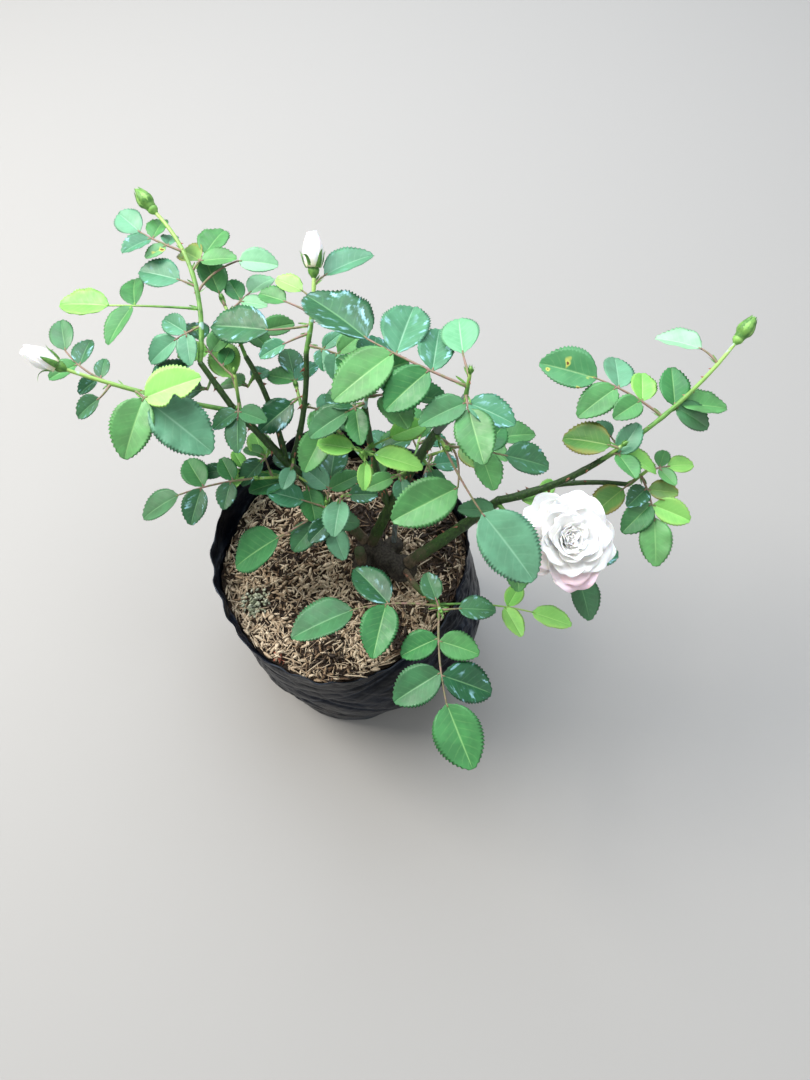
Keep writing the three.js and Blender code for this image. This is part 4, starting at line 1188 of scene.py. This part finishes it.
def dress_knuckle():
    """The graft union: heads of old wood remeshed into one gnarled mass."""
    bpy.ops.object.select_all(action="DESELECT")
    made = []
    for x, y, r, h in HEADS.values():
        for lift, size in ((0.18, 1.22), (0.55, 1.02)):
            bpy.ops.mesh.primitive_uv_sphere_add(
                segments=20, ring_count=14, radius=r * size * MM,
                location=(x * MM, y * MM, (KNUCKLE_FOOT + lift * h) * MM), scale=(1, 1, 0.46 + 0.1 * lift))
            made.append(bpy.context.object)
    bpy.ops.object.select_all(action="DESELECT")
    for one in made:
        one.select_set(True)
    bpy.context.view_layer.objects.active = made[0]
    bpy.ops.object.join()
    bpy.ops.object.transform_apply(location=True, rotation=True, scale=True)
    piece = bpy.context.object
    piece.name = "knuckle_wood"
    remesh = piece.modifiers.new("remesh", "REMESH")
    remesh.mode, remesh.voxel_size = "VOXEL", WOOD_VOXEL * MM
    soften = piece.modifiers.new("soften", "SMOOTH")
    soften.iterations, soften.factor = 10, 0.6
    apply_all(piece)
    bpy.ops.object.mode_set(mode="EDIT")
    bpy.ops.mesh.select_all(action="SELECT")
    bpy.ops.mesh.bisect(plane_co=(0, 0, KNUCKLE_FOOT * MM), plane_no=(0, 0, 1), use_fill=True,
                        clear_inner=True, clear_outer=False)
    bpy.ops.object.mode_set(mode="OBJECT")
    for vertex in piece.data.vertices:
        p = vertex.co / MM
        if p.z < KNUCKLE_FOOT + CLEAR:
            continue
        gnarl = 1.4 * noise(p * 0.14) + 0.25 * noise(Vector((p.x, p.y, p.z * 0.3)) * 0.3)
        vertex.co += vertex.normal * gnarl * MM * 0.8
    bpy.ops.object.shade_smooth()
    piece.data.materials.append(rind_finish("old_wood", "#332c25", "#27221c", "#464036", 260, 300, 0.2))
    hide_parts("knuckle")
    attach(piece, "root")


def dress_shoots(lines):
    """Each shoot: its stem with prickles, its leaves, its finer twigs, and its bud or bloom."""
    for index, (name, parent, back, tip, arch, sway, end, leaves) in enumerate(SHOOTS):
        stems, blades, petals = Pile(), Pile(), Pile()
        old = lines[parent][0]
        tip = Vector(tip)
        line = stem_line(old.walk(1 - back / old.length), tip, arch, sway)
        root, top = LEAFY_STEM if end == "tip" else FLOWERING_STEM
        nodes = [leaf[0] for leaf in leaves]
        tube(stems, line, limb_radius(root, top, nodes, line.length), 12,
             max(6, round(line.length / 2.6)), STEM)
        for i in range(round(line.length / SHOOT_PRICKLE_SPACING)):
            t = 0.06 + 0.8 * chance(index, i, 41)
            out = outward(line.tangent(t), FULL_TURN * chance(index, i, 42))
            prickle(stems, line.point(t) + out * 1.5, out, -line.tangent(t), 2.1)
        for leaf, plan in enumerate(leaves):
            compound_leaf(stems, blades, line.point(plan[0]), plan, index, leaf)
        for twig, (owner, limb, back, end_at, arch, sway, sprays) in enumerate(FINE_TWIGS):
            if owner != name:
                continue
            bough = lines[limb][0]
            thin = stem_line(bough.walk(1 - back / bough.length), Vector(end_at), arch, sway)
            tube(stems, thin, lambda s, at: 1.5 - 0.5 * s, 10, max(6, round(thin.length / 3)), STEM)
            for leaf, plan in enumerate(sprays, FINE_KEY + KEYS_A_TWIG * twig):
                compound_leaf(stems, blades, thin.point(plan[0]), plan, index, leaf)
        way = (line.tangent(1) + UP * 0.3).normalized()
        if end == "bloom":
            bloom(stems, petals, tip, heading(*BLOOM_WAY))
        else:
            bud(stems, petals, tip, way, BUD_LENGTHS[end], end == "opening_bud", (index, 60))
        for part, pile, finishes in (("stems", stems, STEM_FINISHES), ("leaves", blades, LEAF_FINISHES),
                                     ("petals", petals, STEM_FINISHES)):
            if not pile.faces:
                continue
            piece = pile.make(name + "_" + part, finishes)
            if part == "petals":
                thick = piece.modifiers.new("thick", "SOLIDIFY")
                thick.thickness, thick.offset = PETAL_THICK * MM, 0
                apply_all(piece)
            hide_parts(name)
            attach(piece, "root")


# The bag. Turns round it are in degrees.
def lobe(turn, centre, width):
    """A bulge round the bag: 1 at its centre, falling away over its width."""
    off = abs(turn - centre) % 360
    off = 360 - off if off > 180 else off
    return exp(-0.5 * (off / width) ** 2)


def wave(count, turn, shift):
    """So many waves round the bag."""
    return cos(radians(count * turn + shift))


def slump(share, turn):
    """The bag's girth as a share of its radius, by the solids' rule."""
    mouth = 1 + 0.07 * lobe(turn, 115, 55) - 0.04 * lobe(turn, 225, 40) - 0.15 * lobe(turn, 310, 42)
    belly = 1 + 0.11 * lobe(turn, 350, 45) - 0.09 * lobe(turn, 265, 50)
    foot = 0.88 + 0.025 * wave(4, turn, 20) - 0.04 * lobe(turn, 270, 45)
    crease = 0.006 * wave(9, turn, 140 * share) + 0.008 * wave(5, turn, -200 * share)
    low = ease(share / BELLY_SHARE)
    high = ease((share - BELLY_SHARE) / (1 - BELLY_SHARE))
    return foot + (belly - foot) * low + (mouth - belly) * high + crease * share


def rim_height(turn):
    """The height of the bag's rim, by the solids' rule."""
    return (BAG_HEIGHT + 22 * lobe(turn, 105, 50) - 20 * lobe(turn, 262, 48) - 10 * lobe(turn, 320, 30)
            + 3 * wave(7, turn, 0))


# Creases: turn, share of the height, tilt in radians, length, depth and breadth
CREASES = [(360 * chance(i, 91), 0.08 + 0.88 * chance(i, 92), spread(0.75, i, 93), 22 + 46 * chance(i, 94),
            1.6 + 3.2 * chance(i, 95), 2.4 + 3.4 * chance(i, 96)) for i in range(CREASE_COUNT)]


def folds(share, turn):
    """How far the film is pressed in at a place, in millimetres, and how near a fold's line it is, which
    is where the film gets a painted highlight.
    """
    total, line = 0.0, 0.0
    high = share * BAG_HEIGHT
    for centre, level, tilt, long, deep, broad in CREASES:
        off = (turn - centre + 180) % 360 - 180
        x, y = off * 2.2, high - level * BAG_HEIGHT
        if abs(x) > 2 * long or abs(y) > 50:
            continue
        u = x * cos(tilt) + y * sin(tilt)
        v = -x * sin(tilt) + y * cos(tilt)
        reach = exp(-(u / long) ** 2)
        total += deep * reach * exp(-abs(v) / broad)
        line = max(line, reach * exp(-(v / 1.1) ** 2))
    around = around_z(turn, high / 120)
    total += 1.6 * abs(noise(around * 4.2)) + 0.9 * abs(noise(around * 9))
    # sharp creases where the film is gathered
    gathered = max(lobe(turn, 343, 22), 0.8 * lobe(turn, 40, 22), 0.5 * lobe(turn, 200, 25))
    gathered *= ease((share - 0.3) / 0.35)
    sharp = abs(noise(around * 7.5))
    finer = abs(noise(around * 15))
    total += gathered * (6 * sharp + 3.6 * finer)
    line = max(line, gathered * (1 - ease(sharp / 0.07)), 0.7 * gathered * (1 - ease(finer / 0.07)))
    return total, line


def wall_point(share, turn, inset):
    """A point of the bag's wall, so far inside the solids' outer face."""
    z = share * BAG_HEIGHT
    r = BAG_RADIUS * slump(share, turn) - inset
    raised = z * (1 + (rim_height(turn) / BAG_HEIGHT - 1) * share * share)
    around = around_z(turn, 3)
    free = ease((share - 0.9) / 0.1)
    raised += 2.4 * free * noise(around * 5)
    r += free * (1.2 + 4.5 * noise(around * 7))
    return Vector((r * cos(radians(turn)), r * sin(radians(turn)), raised))


def film_inset(share, turn):
    """How far inside the solids' outer face the film lies. Creases run deeper where no medium
    backs it."""
    free = ease((share - 0.72) / 0.2)
    return min(0.75 * folds(share, turn)[0], 4.6 + 3 * free) - 0.7


def dress_bag():
    """The film: a grid wrapped into the bag's underside and wall, and given its thickness."""
    around, levels, floor_rings = 400, 110, 10
    bpy.ops.object.select_all(action="DESELECT")
    bpy.ops.mesh.primitive_grid_add(x_subdivisions=around, y_subdivisions=levels + floor_rings, size=1)
    piece = bpy.context.object
    piece.name = "black_bag_film"
    sheen_lines_and_rim_scuffs = []
    for vertex in piece.data.vertices:
        turn = round((vertex.co.x + 0.5) * around) / around * 360
        row = round((vertex.co.y + 0.5) * (levels + floor_rings))
        if row <= floor_rings:
            # the underside, from its middle out to where the film turns up
            reach = (BAG_RADIUS - BAG_CORNER) * slump(0, turn) * row / floor_rings
            at = Vector((reach * cos(radians(turn)), reach * sin(radians(turn)),
                         UNDERSIDE_HEIGHT))
            sheen_lines_and_rim_scuffs.append(0.0)
        else:
            share = 0.02 + 0.98 * (row - floor_rings) / levels
            soft = ease(share / 0.06)
            at = wall_point(share, turn % 360, film_inset(share, turn % 360) + 4 * (1 - soft))
            # near a fold's line the film gets a painted highlight, and near the rim pale scuffs
            sheen_lines_and_rim_scuffs.append(max(folds(share, turn % 360)[1], 0.8 * ease((share - 0.97) / 0.03)))
        vertex.co = at * MM
    fold = piece.data.attributes.new("fold", "FLOAT", "POINT")
    fold.data.foreach_set("value", sheen_lines_and_rim_scuffs)
    bpy.ops.object.mode_set(mode="EDIT")
    bpy.ops.mesh.select_all(action="SELECT")
    bpy.ops.mesh.remove_doubles(threshold=0.02 * MM)
    bpy.ops.mesh.normals_make_consistent(inside=False)
    bpy.ops.object.mode_set(mode="OBJECT")
    film = piece.modifiers.new("film", "SOLIDIFY")
    film.thickness, film.offset = FILM * MM, -1
    apply_all(piece)
    bpy.ops.object.shade_smooth()
    piece.data.materials.clear()
    piece.data.materials.append(film_finish())
    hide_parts("grow_bag")
    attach(piece, "root")


def share_at(height, turn):
    """The share of the bag's height at which its wall is so high above the ground."""
    low, high = 0.0, 1.2
    for _ in range(24):
        middle = (low + high) / 2
        if wall_point(middle, turn, 0).z < height:
            low = middle
        else:
            high = middle
    return low


def near(x, y, place):
    """The square of the distance to a place."""
    return (x - place[0]) ** 2 + (y - place[1]) ** 2


def surface(x, y):
    """The height of the medium's top: loosely heaped, and banked up a little round the knuckle."""
    p = Vector((x, y, 0))
    heap = 2.6 * noise(p * 0.03) + 1.4 * noise(p * 0.1)
    bank = 3 * exp(-near(x, y, BANK_AT) / 900)
    return MEDIUM_LEVEL + heap + bank - 0.5


def mouth_reach(turn):
    """The place on the film's inside where the medium ends, clear of the folds just above and below."""
    share = share_at(MEDIUM_LEVEL, turn)
    deepest = max(film_inset(share + step * 0.012, turn) for step in range(-3, 4))
    return (wall_point(share, turn, deepest + FILM + 0.8) * Vector((1, 1, 0))), share


def dress_medium():
    """The crumb that fills the bag. It gives the places where its top meets the film."""
    around, rows, sides = 180, 56, 8
    reaches = [mouth_reach(360 * i / around) for i in range(around)]
    pile = Pile()
    points = [Vector((0, 0, surface(0, 0)))]
    for row in range(1, rows + 1):
        for i in range(around):
            edge, _ = reaches[i]
            x, y = edge.x * row / rows, edge.y * row / rows
            z = surface(x, y) + 0.9 * noise(Vector((x, y, 5)) * 0.35)
            points.append(Vector((x, y, z)))
    for row in range(1, sides + 1):
        for i in range(around):
            turn = 360 * i / around
            top_share = reaches[i][1]
            share = top_share * (1 - row / sides) + 0.03 * row / sides
            points.append(wall_point(share, turn, BAG_WALL + 7))
    points.append(Vector((0, 0, BAG_FLOOR + 3)))
    faces = [(0, 1 + i, 1 + (i + 1) % around) for i in range(around)]
    faces += inside_out(sleeve(rows + sides - 1, around, 1))
    last = 1 + (rows + sides - 1) * around
    faces += [(last + (i + 1) % around, last + i, len(points) - 1) for i in range(around)]
    pile.add(points, faces, 0)
    piece = pile.make("growing_crumb", [crumb_finish()])
    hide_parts("growing_medium")
    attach(piece, "root")
    return reaches


SHRED_FACES = inside_out(sleeve(4, 3)) + [(0, 1, 2), (14, 13, 12)]


def dress_husk(reaches):
    """Loose shreds and chips of husk over the crumb, paler where dry and dark where moist, and darker also
    as painted shade from the bush, round the shaded patch and towards the right.
    """
    piles = [Pile(), Pile()]
    count = len(reaches)
    for i in range(SHREDS):
        turn = chance(i, 1)
        edge, _ = reaches[int(turn * count) % count]
        reach = sqrt(chance(i, 2)) * HUSK_REACH
        x, y = edge.x * reach, edge.y * reach
        sort, size = chance(i, 3), chance(i, 4)
        if sort < CRUMBS_TO:
            length, wide = 2.5 + 4.5 * size, 0.7 + 1.3 * chance(i, 5)
        elif sort < CHIPS_TO:
            length, wide = 5 + 6 * size, 1.8 + 2.6 * chance(i, 5)
        else:
            length, wide = 10 + 11 * size, 0.8 + 0.8 * chance(i, 5)
        moist = 1.1 * noise(Vector((x, y, 3)) * 0.024) + 0.4 * noise(Vector((x, y, 9)) * 0.08)
        shade = exp(-near(x, y, SHADE_AT) / 1500)
        # more dark chips towards the right and round the shaded patch: partly moist husk, partly painted
        # shade from the leaves above
        moist += 0.38 * ease((x + 30) / 90) + 0.3 * shade - 0.28 + spread(0.5, i, 6)
        moist -= 0.15 if sort >= CHIPS_TO else 0
        kind = STRAW if moist < -0.06 else TAN if moist < 0.06 else BROWN if moist < 0.26 else MOIST
        if near(x, y, CRUST_AT) < 120 + 160 * chance(i, 13):
            kind, length, wide = CRUST, 2.5 + 3 * size, 2.2 + 2 * chance(i, 5)
        elif near(x, y, RED_AT) < 90 * chance(i, 14):
            kind = RED
        yaw = FULL_TURN * chance(i, 7)
        pitch = spread(0.45, i, 8)
        along = Vector((cos(yaw) * cos(pitch), sin(yaw) * cos(pitch), sin(pitch)))
        room = edge.length * (1 - reach)
        if room < length * 0.5:
            along = (Vector((-y, x, 0)).normalized() + along * 0.2).normalized()
        normal = turned((UP - along * along.z).normalized(), along, spread(60, i, 9))
        side = normal.cross(along)
        lift = 0.4 + 3.4 * chance(i, 10) ** 2 + abs(sin(pitch)) * length * 0.3
        centre = Vector((x, y, surface(x, y) + lift))
        curl = spread(0.3, i, 11) * length
        points = []
        for k in range(5):
            s = k / 4 - 0.5
            half = wide * (1 - (2 * s) ** 4 * 0.7) / 2
            here = centre + along * s * length + normal * curl * (s * s * 4 - 0.5) * 0.5
            points += [here - side * half, here + side * half - normal * 0.2, here + normal * 0.35 * wide]
        piles[i % 2].add(points, SHRED_FACES, kind, None, chance(i, 12))
    for i, pile in enumerate(piles):
        piece = pile.make("husk_shreds_" + "ab"[i], HUSK_FINISHES)
        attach(piece, "root")


def set_stage():
    """A floor and soft daylight, which comes from behind and from the left."""
    bpy.ops.object.select_all(action="DESELECT")
    bpy.ops.mesh.primitive_plane_add(size=12, location=(0, 0, 0))
    floor = bpy.context.object
    floor.name = "floor"
    floor.data.materials.append(floor_finish())
    world = bpy.data.worlds.new("studio")
    world.use_nodes = True
    feed(world.node_tree.nodes["Background"], {"Color": "#eef3f8", "Strength": 0.5})
    bpy.context.scene.world = world
    # plain colours, as in the photograph
    bpy.context.scene.view_settings.view_transform = "Standard"
    for name, at, aim, size, power, code in (
            ("sky_softbox", (0.1, 1.1, 2.3), (0.0, 0.0, 0.3), 2.2, 72, "#eaf2ff"),
            ("key_softbox", (-1.5, 0.5, 1.9), (0.05, 0.0, 0.3), 1.2, 66, "#fffaf4"),
            ("fill_softbox", (1.7, -1.2, 1.2), (0.0, 0.0, 0.2), 1.4, 8, "#ffffff")):
        light = bpy.data.lights.new(name, "AREA")
        light.size, light.energy, light.color = size, power, linear(code)[:3]
        lamp = bpy.data.objects.new(name, light)
        lamp.location = at
        lamp.rotation_euler = (Vector(aim) - Vector(at)).to_track_quat("-Z", "Y").to_euler()
        bpy.context.collection.objects.link(lamp)


def set_camera():
    """The photograph's view: from standing height, steeply down, over the near side of the bag."""
    camera = bpy.data.cameras.new("camera")
    camera.lens, camera.sensor_width, camera.clip_start = LENS, 36, 0.01
    holder = bpy.data.objects.new("camera", camera)
    holder.location = CAMERA_AT
    holder.rotation_euler = (radians(90 - LOOKS_DOWN), 0, 0)
    bpy.context.collection.objects.link(holder)
    bpy.context.scene.camera = holder


set_camera()
lines = cane_lines()
dress_canes(lines)
dress_knuckle()
dress_shoots(lines)
dress_bag()
dress_husk(dress_medium())
set_stage()
